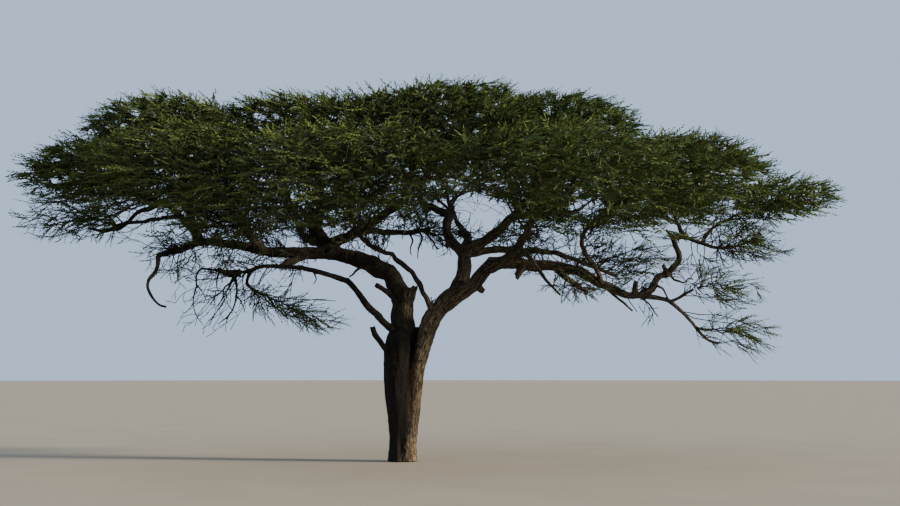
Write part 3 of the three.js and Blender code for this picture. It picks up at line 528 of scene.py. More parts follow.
def limbTube(foot, tip, places, seed, isBroken=True):
    path, run = smoothPath(places, pathStep)
    share = run / run[-1]
    radius = foot + (tip - foot) * share**0.85 + bark["swell"] * foot * np.exp(-run / (2.2 * foot))
    bulge = 1.0
    for height, length, number in bark["bulges"]:
        bulge = bulge + height * lineNoise(run / length, seed + number)
    radius = radius * bulge
    tangent, side, other = framesAlong(path)
    wave = min(0.35, 3.2 * foot)
    sway = bark["wander"] * np.minimum(radius * 2, 0.16) * np.sin(math.pi * np.clip(share, 0, 1)) ** 0.5
    path = path + (side * (sway * lineNoise(run / wave, seed + 9))[:, None]
                   + other * (sway * lineNoise(run / wave, seed + 23))[:, None])
    sides = int(np.clip(2 * math.pi * foot / bark["sideWidth"], 10, 40))
    cos, sin = circle(sides)
    points = path[:, None] + (side[:, None] * cos + other[:, None] * sin) * radius[:, None, None]
    if isBroken:  # a splintered end
        angle = np.linspace(0, 2 * math.pi, sides, endpoint=False)
        jag = radius[-1] * (0.9 * lineNoise(angle * 1.3, seed + 3) + 0.5 * np.cos(angle + seed))
        points[-2:] += tangent[-1] * jag[:, None] * np.array([0.5, 1])[:, None, None]
    ends = np.vstack([path[0], path[-1] + tangent[-1] * (0 if isBroken else 0.35 * radius[-1])])
    return (np.vstack([points.reshape(-1, 3), ends]), ringFaces(len(path), sides, True)), path, run, radius


def addLimb(kind, solid, path, run, radius):
    tubes[kind].append(solid)
    tangent, side, other = framesAlong(path)
    line = {"path": path, "run": run, "radius": radius, "tangent": tangent, "side": side, "other": other,
            "number": 0 * run + len(lines), "mean": 0 * run + radius[::2].mean()}
    lines.append({key: value[::2] for key, value in line.items()})


for column in trunk["columns"].values():
    addLimb("live", *columnTube(column))
for number, (name, limb) in enumerate(limbs.items()):
    isDead = name in deadLimbs
    addLimb("dead" if isDead else "live", *limbTube(*limb, number, isDead))
for number, (start, end, foot) in enumerate(stubs):
    bend = (np.array(start) + np.array(end)) / 2 + dice.normal(0, 0.02, 3)
    addLimb("live", *limbTube(foot, foot * 0.8, [start, bend, end], 100 + number))
for number, spur in enumerate(spurs):
    addLimb("live", *limbTube(*spur, 200 + number))

middles = {key: np.concatenate([line[key] for line in lines]) for key in lines[0]}
lineStarts = np.cumsum([0] + [len(line["run"]) for line in lines[:-1]])


def barkSpace(points):  # round and along each point's limb, this one's radii, and how near the next limb is
    best, second = np.zeros(len(points), int), np.zeros(len(points))
    lengths = (middles["path"] ** 2).sum(1)
    for first in range(0, len(points), 8000):
        some = points[first:first + 8000]
        square = (some ** 2).sum(1)[:, None] + lengths - 2 * some @ middles["path"].T
        square = np.maximum(square, 1e-8) * middles["radius"] ** -2
        best[first:first + 8000] = square.argmin(1)
        byLimb = np.minimum.reduceat(square, lineStarts, axis=1)
        second[first:first + 8000] = np.partition(byLimb, 1, axis=1)[:, 1] ** 0.5
    near = {key: value[best] for key, value in middles.items()}
    offset = points - near["path"]
    forward = (offset * near["tangent"]).sum(1)
    across = unit(offset - near["tangent"] * forward[:, None])
    place = np.column_stack([(across * near["side"]).sum(1) * near["mean"],
                             (across * near["other"]).sum(1) * near["mean"],
                             near["run"] + forward + bark["limbStep"] * near["number"]])
    return place, near["radius"], near["mean"], second


def barkRelief(place, meanRadius):  # 0 in a crack, up to 1 on a plate
    width = np.clip(bark["plateShare"] * meanRadius, *bark["plateWidth"])[:, None]
    drift = np.column_stack([smoothNoise(place / (width * 4), seed) for seed in (5, 6)] + [0 * place[:, 0]])
    grid = place / (width * [1, 1, bark["plateLength"]]) + drift * 0.9
    ridge = np.minimum(1, np.abs(smoothNoise(grid, 1)) / 0.42) ** 0.8
    cross = np.minimum(1, np.abs(smoothNoise(grid * [1.6, 1.6, 2.2], 2)) / 0.2)
    plates = 0.82 + 0.18 * smoothNoise(grid * 2.2, 3)
    return np.clip(ridge * (0.62 + 0.38 * cross) * plates, 0, 1)


def relax(points, edges, weight, rounds):
    a, b = edges.T
    count = np.bincount(edges.ravel(), minlength=len(points))
    for _ in range(rounds):
        sums = [np.bincount(a, x[b], len(x)) + np.bincount(b, x[a], len(x)) for x in points.T]
        points = points + weight[:, None] * (np.column_stack(sums) / count[:, None] - points)
    return points


def evaluated(mesh, kind, **settings):  # the mesh after one modifier
    carrier = placed("carrier", mesh)
    modifier = carrier.modifiers.new("step", kind)
    for key, value in settings.items():
        setattr(modifier, key, value)
    result = bpy.data.meshes.new_from_object(carrier.evaluated_get(bpy.context.evaluated_depsgraph_get()))
    bpy.data.objects.remove(carrier)
    return result


def setAboveGround(mesh, points):
    setPoints(mesh, np.maximum(points, [-np.inf, -np.inf, 0]))


def barkSkin(kind):
    skin = evaluated(newMesh(*joined(tubes[kind])), "REMESH", mode="VOXEL", voxel_size=bark["voxel"])
    points = numbersOf(skin.vertices, "co").astype(float)
    edges = numbersOf(skin.edges, "vertices", 2, np.int32)
    place, radius, mean, second = barkSpace(points)
    crotch = np.clip((2.1 - second) / 0.9, 0, 1) * np.clip(radius / 0.2, 0.15, 1)
    points = relax(points, edges, np.full(len(points), 0.4), 2)
    points = relax(points, edges, 0.6 * crotch, 14)
    setPoints(skin, points)
    flute = smoothNoise(place / (mean[:, None] * [0.55, 0.55, 5]), 8) - 0.15
    stout = np.clip((mean - 0.16) / 0.3, 0, 1)
    lump = smoothNoise(points / 0.055, 12) * 0.1 + smoothNoise(points / 0.16, 13) * 0.22
    depth = np.minimum(bark["depthShare"] * radius, bark["depth"])
    push = (depth * (barkRelief(place, mean) - 0.72 + lump)
            + bark["fluteDepth"] * stout * flute * np.clip(radius / 0.5, 0, 1))
    push = relax(push[:, None], edges, 0.8 * crotch, 4)
    setAboveGround(skin, points + numbersOf(skin.vertex_normals, "vector") * push)
    skin = evaluated(skin, "DECIMATE", ratio=bark["keep"])
    setAboveGround(skin, numbersOf(skin.vertices, "co"))
    place, _, mean, _ = barkSpace(numbersOf(skin.vertices, "co").astype(float))
    relief = barkRelief(place, mean).astype(np.float32)
    along = place.astype(np.float32).ravel()
    skin.attributes.new("relief", "FLOAT", "POINT").data.foreach_set("value", relief)
    skin.attributes.new("along", "FLOAT_VECTOR", "POINT").data.foreach_set("vector", along)
    return skin


liveLimbs = ["trunk"] + [name for name in limbs if name not in deadLimbs]
newPiece("bark", barkSkin("live"), barkMaterial("acaciaBark", barkTones), liveLimbs)
newPiece("deadWood", barkSkin("dead"), barkMaterial("deadWoodGrey", deadTones), deadLimbs)
print("bark done")


# Masses of foliage

# The dense masses. Each: the limb it grows from, its middle, its half sizes, how much deeper it is below its
# middle, how full of twigs, how much painted light makes it lighter than the others, and its share of inner
# leaves
denseColumns = ["from", "middle", "half", "below", "fullness", "brighter", "inner"]
denseMasses = {
    "left_tip": ("left_reach", (-9.4, -1, 8.9), (2.5, 3.2, 1.1), 1.35, 1.2, 1.5, 1.4),
    "left_dome": ("left_dome_riser", (-6.8, -1.6, 9.7), (2.9, 3.9, 1.38), 1.4, 1.3, -0.1, 2.1),
    "front_left": ("front_left_bough", (-5.25, -5.75, 8.15), (3.4, 3.5, 1.45), 1.45, 1.15, 0, 1),
    "front_middle_left": ("middle_bough", (-1.2, -7, 7.95), (3.4, 3.5, 1.4), 1.25, 1, 0.6, 1),
    "front_middle_right": ("front_right_bough", (4, -6.9, 8), (3.4, 3.55, 1.4), 1.3, 1.1, 0.1, 1.1),
    "front_right": ("curl_bough", (7.5, -4.6, 8.1), (3.15, 3.4, 1.35), 1.35, 1.1, 0.7, 1),
    "right_side": ("right_riser", (8.7, 0.5, 9), (2.9, 3.5, 1.35), 1.25, 1, 0.4, 1.1),
    "right_tip": ("right_spur", (11.8, -0.3, 8.1), (1.85, 2.8, 0.68), 1.05, 0.85, 1, 0.5),
    "back_right": ("upper_right_bough", (6.7, 5.5, 9.1), (3.9, 3.4, 1.45), 1.15, 0.9, 0, 0.75),
    "back_middle": ("back_bough", (1.2, 7.3, 9.8), (4, 3.5, 1.35), 1.1, 1, 0, 0.75),
    "back_left": ("back_left_bough", (-4.3, 5.5, 9.1), (4.1, 3.6, 1.45), 1.15, 0.9, 0, 0.75),
    "top_left": ("left_riser", (-2.9, 0.3, 10.25), (3.6, 3.95, 1.25), 1.4, 1.1, 0.25, 1.7),
    "top_front": ("centre_left_bough", (0.5, -3.2, 9.65), (4, 3.3, 1.35), 1.05, 1, -0.25, 1.4),
    "top_back": ("crook_bough", (1.7, 2.6, 11), (3.5, 3.8, 1.5), 1.1, 1.2, 0.2, 2.1),
    "top_right": ("rise_bough", (4.75, -0.5, 10.15), (2.85, 3.9, 1.15), 1.4, 1.25, 0.4, 1.6),
}

# The open masses. Each: its limb, middle and half sizes, how much it droops, how full it is, how much painted
# light makes it lighter, where its twigs stream, how its cloud slopes to the right, how flat and how leafy it
# is, and the step between its storeys
openColumns = ["from", "middle", "half", "droop", "fullness", "brighter", "stream", "slope", "flat", "leafy",
               "storey"]
openMasses = {
    "left_fringe": ("left_arch", (-9.3, -1.9, 7.5), (2.5, 2.1, 0.95), 0.25, 1.2, 0, (-0.8, 0, -0.15), 0, 0.9,
        0.5, 0),
    "left_clump": ("left_droop", (-3.2, -3, 4.6), (2.3, 1.6, 0.85), 0.25, 1, 0, (0.8, 0, -0.22), -0.28, 0.5,
        0.3, 0),
    "left_hanging": ("lower_left_arm", (-5.55, -2.3, 5), (1.5, 1.2, 1.35), 0.8, 1, 0, (-0.25, 0, -0.8), 0, 1,
        0, 0),
    "centre_spray": ("centre_low_bough", (1.05, 2.35, 7.7), (1.5, 1.3, 0.8), 0.1, 0.8, 0, (0.5, 0.2, 0.1), 0,
        0.8, 0.7, 0),
    "right_mid_spray": ("back_right_bough", (7.9, 2.5, 6.45), (1.6, 1.3, 0.95), 0, 0.6, 0.35,
        (0.9, 0.1, 0.05), 0, 0.8, 0.6, 0.5),
    "right_fringe": ("right_arm", (10.5, -1.3, 6.72), (1.55, 1.5, 0.7), 0.2, 0.62, 0.4, (0.95, 0, -0.12),
        -0.1, 0.85, 0.9, 0.44),
    "right_fan_spray": ("right_fan_bough", (9.55, -2, 5.3), (1.5, 1.3, 0.8), 0.1, 0.85, 0.4, (0.9, 0, -0.05),
        -0.12, 0.85, 0.8, 0.42),
    "right_low_spray": ("right_low", (9.95, -2.1, 3.95), (1.4, 1.2, 0.95), 0.3, 0.9, 0.35, (0.85, 0, -0.15),
        -0.15, 0.85, 0.8, 0.42),
    "under_spray": ("stub_bough", (5.15, -1.75, 5.3), (1.25, 1, 0.5), 0.3, 0.6, 0, (0.85, 0, -0.12), -0.1,
        0.8, 0.4, 0),
}

# How the masses grow: each value for the dense ones and for the open ones
growth = {
    "turnCost": (0.35, 0.8), "bearShare": (0.3, 0.75),  # of turning, and of the bough that bears their twigs
    "hubShare": (0.5, 0.3),                             # how far their hub lies towards the middle
    "area": (11, 2.2), "insideGoals": (105, 4), "shellGoals": (405, 165),
    "finest": (0.0075, 0.0105), "wobble": (0.10, 0.17),
    "steep": (0.45, 0.8), "bendShare": (0.9, 0.5),      # how twigs arrive at the shell
    "perGoal": (2.45, 2.4), "sprayLength": ((0.40, 0.78), (0.27, 0.54)), "kinds": (9, 5),
    "below": (1, 1), "droop": (0, 0), "lean": (0, 0), "leafy": (1, 1), "inner": (0, 0),
}
twigs = {
    "runCost": 0.4,  # a twig leaves from the end that is near its goal and not far from the bough
    "depthAbove": (0.17, 0.75), "depthBelow": (0.15, 1.5), "lump": 0.5, "aboveShare": 0.58, "taper": 0.47,
    "skyChance": 0.55, "stemStep": 0.3,
}

masses = {}
for isOpen, columns, rows in ((0, denseColumns, denseMasses), (1, openColumns, openMasses)):
    for name, row in rows.items():
        usual = {key: pair[isOpen] for key, pair in growth.items()}
        mass = {"isOpen": isOpen, **usual, **dict(zip(columns, row))}
        mass["middle"], mass["half"] = np.array(mass["middle"], float), np.array(mass["half"], float)
        masses[name] = mass
masses["left_tip"]["lean"] = 0.35  # slopes down outwards

# Where sky shows under the crown: middle and half sizes, seen from the camera on the plane through the trunk
skyGaps = [((-8.2, 7.45), (0.8, 0.5)), ((2.1, 7.78), (1.28, 0.6)), ((5.7, 7.94), (0.64, 0.28)),
           ((-3.5, 6.78), (0.4, 0.18))]


def isSky(p):
    eyeX, eyeY, eyeZ = view["place"]
    share = -eyeY / (p[..., 1] - eyeY)
    x, z = eyeX + (p[..., 0] - eyeX) * share, eyeZ + (p[..., 2] - eyeZ) * share
    return np.any([((x - a) / b) ** 2 + ((z - c) / d) ** 2 < 1 for (a, c), (b, d) in skyGaps], axis=0)


def depthIn(mass, p):  # 0 at a mass's middle, 1 at the surface of its space
    x, y, z = np.moveaxis((p - mass["middle"]) / mass["half"], -1, 0)
    return np.sqrt(x ** 2 + y ** 2 + np.where(z < 0, z / mass["below"], z) ** 2)


def isOwnSpace(mass, p):
    own = depthIn(mass, p)
    others = [depthIn(other, p) for other in masses.values() if other is not mass]
    return (own <= 1) & (own < np.min(others, axis=0))


def halfTowards(mass, way):  # half sizes, for ways up or down
    return mass["half"] * heightsBy(np.where(way[..., 2:] < 0, mass["below"], 1))


def outwardIn(mass, p):
    return unit((p - mass["middle"]) / mass["half"] ** 2)


def roomAhead(mass, p, way):  # how far from inside to the surface of the space
    half = halfTowards(mass, way)
    q, v = (p - mass["middle"]) / half, way / half
    a, b, c = (v * v).sum(-1), (q * v).sum(-1), (q * q).sum(-1) - 1
    return (-b + np.sqrt(np.maximum(b * b - a * c, 0))) / a


def evenWays(count, droop, turn):
    k = np.arange(1, count + 1)
    u, v = (0.5 + k / 1.2207440846057596 + turn) % 1, (0.5 + k / 1.2207440846057596 ** 2) % 1
    edge = twigs["aboveShare"] - droop * 0.4
    rise = np.where(v < edge, v / edge, -(v - edge) / (1 - edge))
    flat = np.sqrt(1 - rise * rise)
    return np.column_stack([np.cos(2 * math.pi * u) * flat, np.sin(2 * math.pi * u) * flat, rise])


def massGoals(mass):  # where a mass's twigs head for, inside it and in its shell
    area = (mass["half"][0] * mass["half"][1] / mass["area"]) ** 0.8 * mass["fullness"]
    ways = evenWays(int(mass["shellGoals"] * area), mass["droop"], dice.random())
    reach = ways * halfTowards(mass, ways)
    far = np.linalg.norm(reach, axis=1)
    shallow, deep = np.where(ways[:, 2:] > 0, twigs["depthAbove"], twigs["depthBelow"]).T
    depth = shallow + (deep - shallow) * dice.random(len(ways)) ** 1.4
    if mass["isOpen"]:
        depth = 0.1 + 0.75 * far * dice.random(len(ways)) ** 1.5
    depth = depth + twigs["lump"] * np.clip(smoothNoise((mass["middle"] + reach) / 0.8, 31), 0, 1)
    shell = reach * np.maximum(0.15, 1 - depth / far)[:, None]
    shell[:, 2] += mass["lean"] * np.minimum(0, shell[:, 0])
    if mass["isOpen"]:
        if mass["storey"]:
            z = shell[:, 2] + 0.3 * smoothNoise((mass["middle"] + shell) / 0.9, 33)
            shell[:, 2] = np.round(z / mass["storey"]) * mass["storey"] * 0.45 + z * 0.55
        ahead = np.maximum(0, shell @ unit(np.array(mass["stream"])) / mass["half"][0] + 0.2)
        shell[:, 2] = (shell[:, 2] * mass["flat"] + shell[:, 0] * mass["slope"]
                       - 0.35 * mass["half"][2] * ahead ** 2)
    shell = mass["middle"] + shell
    shell = shell[isOwnSpace(mass, shell) & ~(isSky(shell) & (dice.random(len(shell)) < twigs["skyChance"]))]
    ways = unit(dice.normal(size=(mass["insideGoals"], 3)) * [1, 1, 0.8])
    inside = ways * mass["half"] * [1, 1, 0.8] * (0.2 + 0.6 * dice.random((len(ways), 1)) ** 0.7)
    inside = mass["middle"] + inside
    return inside[isOwnSpace(mass, inside)], shell


def growMass(mass):
    foot, tip, places = limbs[mass["from"]]
    path, _ = smoothPath(places, pathStep)
    start, heading = path[-1], unit(path[-1] - path[-3])
    bearing = path[int(len(path) * (1 - mass["bearShare"]))::7][:-1]
    hub = start + (mass["middle"] - start) * mass["hubShare"] + heading * 0.15
    inwards = [] if mass["isOpen"] else [mass["middle"]]
    stem, run = smoothPath([*bearing, start, hub, *inwards], twigs["stemStep"])
    inBough = int(np.linalg.norm(stem - start, axis=1).argmin())
    inside, shell = (g[np.argsort(np.linalg.norm(g - start, axis=1))] for g in massGoals(mass))
    at = np.concatenate([stem, inside, shell])
    size = len(at)
    runs, parent, way = np.zeros(size), np.arange(size) - 1, np.zeros((size, 3))
    runs[:len(stem)], way[:len(stem)] = run, unit(np.gradient(stem, axis=0))
    for k in range(len(stem), size):
        gap = at[k] - at[:k]
        far = np.linalg.norm(gap, axis=1)
        turn = 1 - (gap * way[:k]).sum(1) / np.maximum(far, 1e-6)
        cost = far * (1 + mass["turnCost"] * turn) + twigs["runCost"] * runs[:k]
        parent[k] = best = int(cost.argmin())
        runs[k] = runs[best] + far[best]
        way[k] = unit(at[k] - at[best])
    load = np.ones(size)
    for k in range(size - 1, 0, -1):
        load[parent[k]] += load[k]
    radius = np.maximum(mass["finest"], 0.82 * tip * (load / load[0]) ** twigs["taper"])
    radius[:inBough] = tip
    outward = outwardIn(mass, at)
    if mass["isOpen"]:
        bend = np.array(mass["stream"]) + outward * 0.3
    else:
        turn = 2.6 * smoothNoise(at / 1.4, 50)
        aside = np.column_stack([np.cos(turn), np.sin(turn), 0 * turn]) * np.where(at[:, :1] < 1, -1, 1)
        bend = (unit(at * [1.35, 0.8, 0]) * 0.42 + aside * 0.4 + outward * [0.35, 0.35, 0]
                + (0.36 * np.clip(outward[:, 2:], -0.35, 0.8) - 0.11) * up)
    isShell = np.arange(size) >= size - len(shell)
    arrive = np.where(isShell[:, None], unit(way * heightsBy(mass["steep"]) + mass["bendShare"] * bend),
                      unit(way + 0.15 * bend))
    arrive[:len(stem)] = way[:len(stem)]
    return {"at": at, "parent": parent, "radius": radius, "arrive": arrive, "isShell": isShell, "bend": bend,
            "stem": len(stem), "hidden": inBough}


def edgeCurves(tree, wobble):  # for each twig: its ends, the ways it leaves and arrives, and its radii
    child = np.flatnonzero((tree["parent"] >= 0) & (np.arange(len(tree["at"])) > tree["hidden"]))
    mother = tree["parent"][child]
    a, b = tree["at"][mother], tree["at"][child]
    length = np.linalg.norm(b - a, axis=1, keepdims=True)
    leave = unit(0.5 * tree["arrive"][mother] + 0.6 * unit(b - a)) * length
    arrive = tree["arrive"][child] * length * 0.9
    leave = leave + dice.normal(0, wobble * 2, leave.shape) * length
    arrive = arrive + dice.normal(0, wobble * 2, leave.shape) * length
    thick = np.minimum(tree["radius"][mother] * 0.92, tree["radius"][child] * 1.35 + 0.002)
    thick = np.where(child < tree["stem"], tree["radius"][mother], thick)
    return {"a": a, "b": b, "leave": leave, "arrive": arrive, "thick": thick, "thin": tree["radius"][child],
            "isShell": tree["isShell"][child], "bend": tree["bend"][child]}


def endsOf(curves, pick):
    return [curves[key][pick] for key in ("a", "b", "leave", "arrive")]


def twigTubes(curves):  # all twigs as tubes, stouter ones with more sides
    parts = []
    sidesFor = np.select([curves["thick"] > least for least in (0.05, 0.02, 0.011)], [8, 5, 4], 3)
    for sides, rings in ((8, 6), (5, 4), (4, 4), (3, 3)):
        pick = sidesFor == sides
        if pick.any():
            t = np.linspace(0, 1, rings)
            line = hermite(*(end[:, None] for end in endsOf(curves, pick)), t)
            tangent = unit(np.gradient(line, axis=1))
            steep = np.abs(unit(line[:, -1] - line[:, 0])[:, 2:]) >= 0.75
            side = unit(np.cross(tangent, np.where(steep, [1.0, 0, 0], up)[:, None]))
            cos, sin = circle(sides)
            ring = side[:, :, None] * cos + np.cross(tangent, side)[:, :, None] * sin
            thick, thin = curves["thick"][pick][:, None], curves["thin"][pick][:, None]
            tube = line[:, :, None] + ring * (thick + (thin - thick) * t)[:, :, None, None]
            parts.append(repeated(tube.reshape(len(line), -1, 3), ringFaces(rings, sides)))
    return joined(parts)


# Sprays: a shoot and its leaves

spray = {"leaves": 10, "leafLength": 0.205, "leafWidth": 0.36, "belly": 0.42, "fold": 0.06,
         "spread": (12, 27), "arch": (-0.16, 0.26), "sway": 0.10, "first": 0.10, "variants": 9,
         "shootRadius": 0.0062}
kiteFaces = [[0, 1, 2], [0, 2, 3]]
shootFaces = np.concatenate([ringFaces(2, 3), [[3, 4, 6], [4, 5, 6], [5, 3, 6]]])


def leafKite(root, way, flat, length):
    side = unit(np.cross(way, flat))
    half = side * (length * spray["leafWidth"]) / 2
    fold = np.cross(side, way) * (spray["fold"] * length)
    belly = root + way * length * spray["belly"]
    return [root, belly + half + fold, root + way * length, belly - half + fold]


def makeSpray(variant):  # along +Y, one long, flat side up +Z
    arch = spray["arch"][0] + (spray["arch"][1] - spray["arch"][0]) * variant / (spray["variants"] - 1)

    def at(t):
        return np.array([spray["sway"] * math.sin(2.3 * variant) * t * t, t, arch * t * t])

    kites = []
    for k in range(spray["leaves"]):
        t = spray["first"] + 0.88 * (k / (spray["leaves"] - 1)) ** 0.9
        ahead = unit(at(t + 0.02) - at(t))
        turn = math.radians(dice.uniform(*spray["spread"])) * (1 - 0.75 * max(0, t - 0.85) / 0.15)
        sideways = np.array([1.0 if k % 2 else -1.0, 0, dice.normal(0, 0.45)])
        way = unit(ahead * math.cos(turn) + unit(sideways - ahead * np.dot(sideways, ahead)) * math.sin(turn))
        length = spray["leafLength"] * dice.uniform(0.75, 1.15) * (1 - 0.45 * max(0, t - 0.5))
        flat = unit(np.array([dice.normal(0, 0.4), dice.normal(0, 0.4), 1.0]))
        kites.append(leafKite(at(t), way, flat, length))
    return *repeated(np.array(kites), kiteFaces), np.array([at(t) for t in (0, 0.5, 0.96)])


sprayKinds = [makeSpray(variant) for variant in range(spray["variants"])]


def placeSprays(sites):  # joined leaves, and the shoots that bear them
    x = unit(np.cross(sites["way"], sites["flat"]))
    axes = np.stack([x, sites["way"], np.cross(x, sites["way"])], axis=1)
    cos, sin = circle(3)
    radius = spray["shootRadius"] * np.array([1, 0.8])[:, None, None]
    rings = (axes[:, :1] * cos + axes[:, 2:] * sin)[:, None] * radius
    leafParts, shootParts = [], []
    for variant, (points, faces, bones) in enumerate(sprayKinds):
        pick = sites["kind"] == variant
        turned = axes[pick] * sites["length"][pick][:, None, None]
        leafParts.append(repeated(sites["at"][pick][:, None] + points @ turned, faces))
        line = sites["at"][pick][:, None] + bones @ turned
        tube = (line[:, :2, None] + rings[pick]).reshape(-1, 6, 3)
        shootParts.append(repeated(np.concatenate([tube, line[:, 2:]], axis=1), shootFaces))
    return joined(leafParts), joined(shootParts)


def spraySites(curves, mass):
    shell = np.flatnonzero(curves["isShell"])
    perGoal = 1 + (mass["perGoal"] - 1) * mass["leafy"]
    many = int(len(shell) * (perGoal - 1))
    edge = np.concatenate([shell, dice.choice(shell, many)])
    t = np.concatenate([np.full(len(shell), 0.985), dice.uniform(0.2, 0.95, many)])
    ends = endsOf(curves, edge)
    place = hermite(*ends, t)
    along = unit(hermite(*ends, np.minimum(t + 0.02, 1.01)) - place)
    wild = unit(dice.normal(size=(len(edge), 3)) * [1, 1, 0.4]) * np.where(t > 0.98, 0.4, 0.6)[:, None]
    outward = outwardIn(mass, place)
    rise = np.clip(outward[:, 2:], 0, 1)
    if mass["isOpen"]:
        way = along + curves["bend"][edge] * 0.4 + wild * [0.7, 0.7, 0.45]
    else:
        way = along * 0.45 * heightsBy(0.3 + 0.7 * rise ** 2) + curves["bend"][edge] * 0.9 + wild
        way = way * heightsBy(0.6 + 0.4 * rise ** 4)
    way = unit(way)
    length = dice.uniform(*mass["sprayLength"], len(edge))
    length = np.clip(np.minimum(length, roomAhead(mass, place, way) + 0.10 * length), 0.2, None)
    flat = unit(outward * 0.5 + 0.8 * up + dice.normal(0, 0.45, (len(edge), 3)))
    return {"at": place, "way": way, "length": length, "flat": flat, "outward": outward,
            "brighter": np.full(len(edge), mass["brighter"]),
            "kind": dice.integers(0, mass["kinds"], len(edge))}


# Thin twigs along the boughs

boughTwigs = {
    "spacing": 0.17, "length": (0.5, 1.5), "forks": 10, "deepest": 3, "radius": 0.017, "leafy": 0.8,
    "rise": 0.8, "fall": -0.7, "sprays": 2, "sprayLength": (0.25, 0.5), "skyChance": 0.6,
    "bare": ["left_stem", "right_stem", "inner_stem", "outer_stem", "lower_left_bough", "left_hook",
             "dead_bough", "under_bough", "right_low", "right_fan_bough", "left_droop", "stub_bough"],
    "until": {"left_bough": 6.0},
    "hang": {"left_bough": 0.5, "right_bough": 0.25, "lower_left_arm": 0.8, "right_arm": 0.5,
             "right_spur": 0.5},
    "from": {"middle_bough": 2.8, "left_bough": 1.2, "right_bough": 1.5, "lower_left_arm": 1.2,
             "right_knee": 0.6},
    "sparse": {"lower_left_arm": 2.0, "right_knee": 3.0, "left_bough": 0.24, "right_bough": 0.9,
               "left_riser": 0.3, "front_left_bough": 0.3, "left_dome_riser": 0.6, "centre_left_bough": 0.5,
               "back_left_bough": 0.6, "centre_low_bough": 0.6, "rise_bough": 0.5, "back_right_bough": 0.6,
               "curl_bough": 0.55, "upper_right_bough": 0.7, "front_right_bough": 0.5, "right_arm": 0.5,
               "right_spur": 0.5, "right_riser": 0.6},
}


def boughTwigTree(name):
    foot, tip, places = limbs[name]
    path, run = smoothPath(places, pathStep)
    tangent, side, other = framesAlong(path)
    nodes = []  # each: place, number of the node it grows from, radius, way, whether it bears leaves
    first = boughTwigs["from"].get(name, 0.4) + dice.random() * 0.3
    step = boughTwigs["spacing"] * boughTwigs["sparse"].get(name, 1.0)
    for s in np.arange(first, boughTwigs["until"].get(name, run[-1]), step):
        k = min(int(np.searchsorted(run, s)), len(path) - 1)
        angle = dice.uniform(0, 2 * math.pi)
        radial = unit(path[k] * [1, 1, 0])
        out = side[k] * math.cos(angle) + other[k] * math.sin(angle)
        rise = boughTwigs["fall"] if dice.random() < boughTwigs["hang"].get(name, 0) else boughTwigs["rise"]
        way = unit(out + tangent[k] * dice.uniform(-0.2, 0.7) + radial * 0.3 + rise * up)
        length = dice.uniform(*boughTwigs["length"])
        base = len(nodes)
        nodes.append((path[k], -1, boughTwigs["radius"], way, False))
        order = [0]
        for fork in range(boughTwigs["forks"]):
            bearers = [m for m in range(1, len(order)) if order[m] < boughTwigs["deepest"]]
            mother = int(dice.choice(bearers)) if bearers else 0
            way = unit(nodes[base + mother][3] + dice.normal(0, 0.5, 3) + radial * 0.25)
            reach = length * 0.4 + (foot + tip) / 2 if mother == 0 else length * dice.uniform(0.3, 0.6)
            place = nodes[base + mother][0] + way * reach
            if isSky(place) and dice.random() < boughTwigs["skyChance"]:
                continue
            isOutside = min(depthIn(mass, place) for mass in masses.values()) > 0.97
            if fork > 0 and isOutside and np.linalg.norm(place - path[k]) > 0.9:
                continue
            radius = boughTwigs["radius"] * (0.75 if fork == 0 else 0.5)
            nodes.append((place, base + mother, radius, way, fork > 0))
            order.append(order[mother] + 1)
    at, parent, radius, arrive, isShell = (np.array(column) for column in zip(*nodes))
    return {"at": at, "parent": parent, "radius": radius, "arrive": arrive, "isShell": isShell,
            "bend": unit(at * [1, 1, 0]) * 0.4, "stem": 0, "hidden": -1}


def boughTwigSites(curves):
    leafy = np.flatnonzero(curves["isShell"])
    leafy = leafy[dice.random(len(leafy)) < boughTwigs["leafy"]].repeat(boughTwigs["sprays"])
    a, b, leave, arrive = endsOf(curves, leafy)
    place = hermite(a, b, leave, arrive, dice.uniform(0.45, 0.99, len(a)))
    way = unit(unit(arrive) + dice.normal(0, 0.35, a.shape))
    length = dice.uniform(*boughTwigs["sprayLength"], len(a))
    # painted shade and light: these sprays count as looking down, so they take the darker tints, and those
    # right of x = 5 get some painted light
    return {"at": place, "way": way, "length": length, "flat": unit(dice.normal(0, 0.5, a.shape) + up),
            "outward": 0 * a - up, "brighter": 0.2 * (a[:, 0] > 5),
            "kind": dice.integers(0, spray["variants"], len(a))}


# Leaves along the twigs inside the crown, darkened as painted shade

innerLeaves = {"perTwig": 9, "length": (0.23, 0.40), "width": (0.15, 0.24), "belly": 0.45, "cover": 0.065,
               "atTop": 0.055, "insideWeight": 1.6, "outerWeight": 2.0, "small": 0.6, "full": 0.5}


def coverOver(p):  # how far inside the crown, over all dense masses
    return sum(np.maximum(0, 1 - depthIn(mass, p)) for mass in masses.values() if not mass["isOpen"])


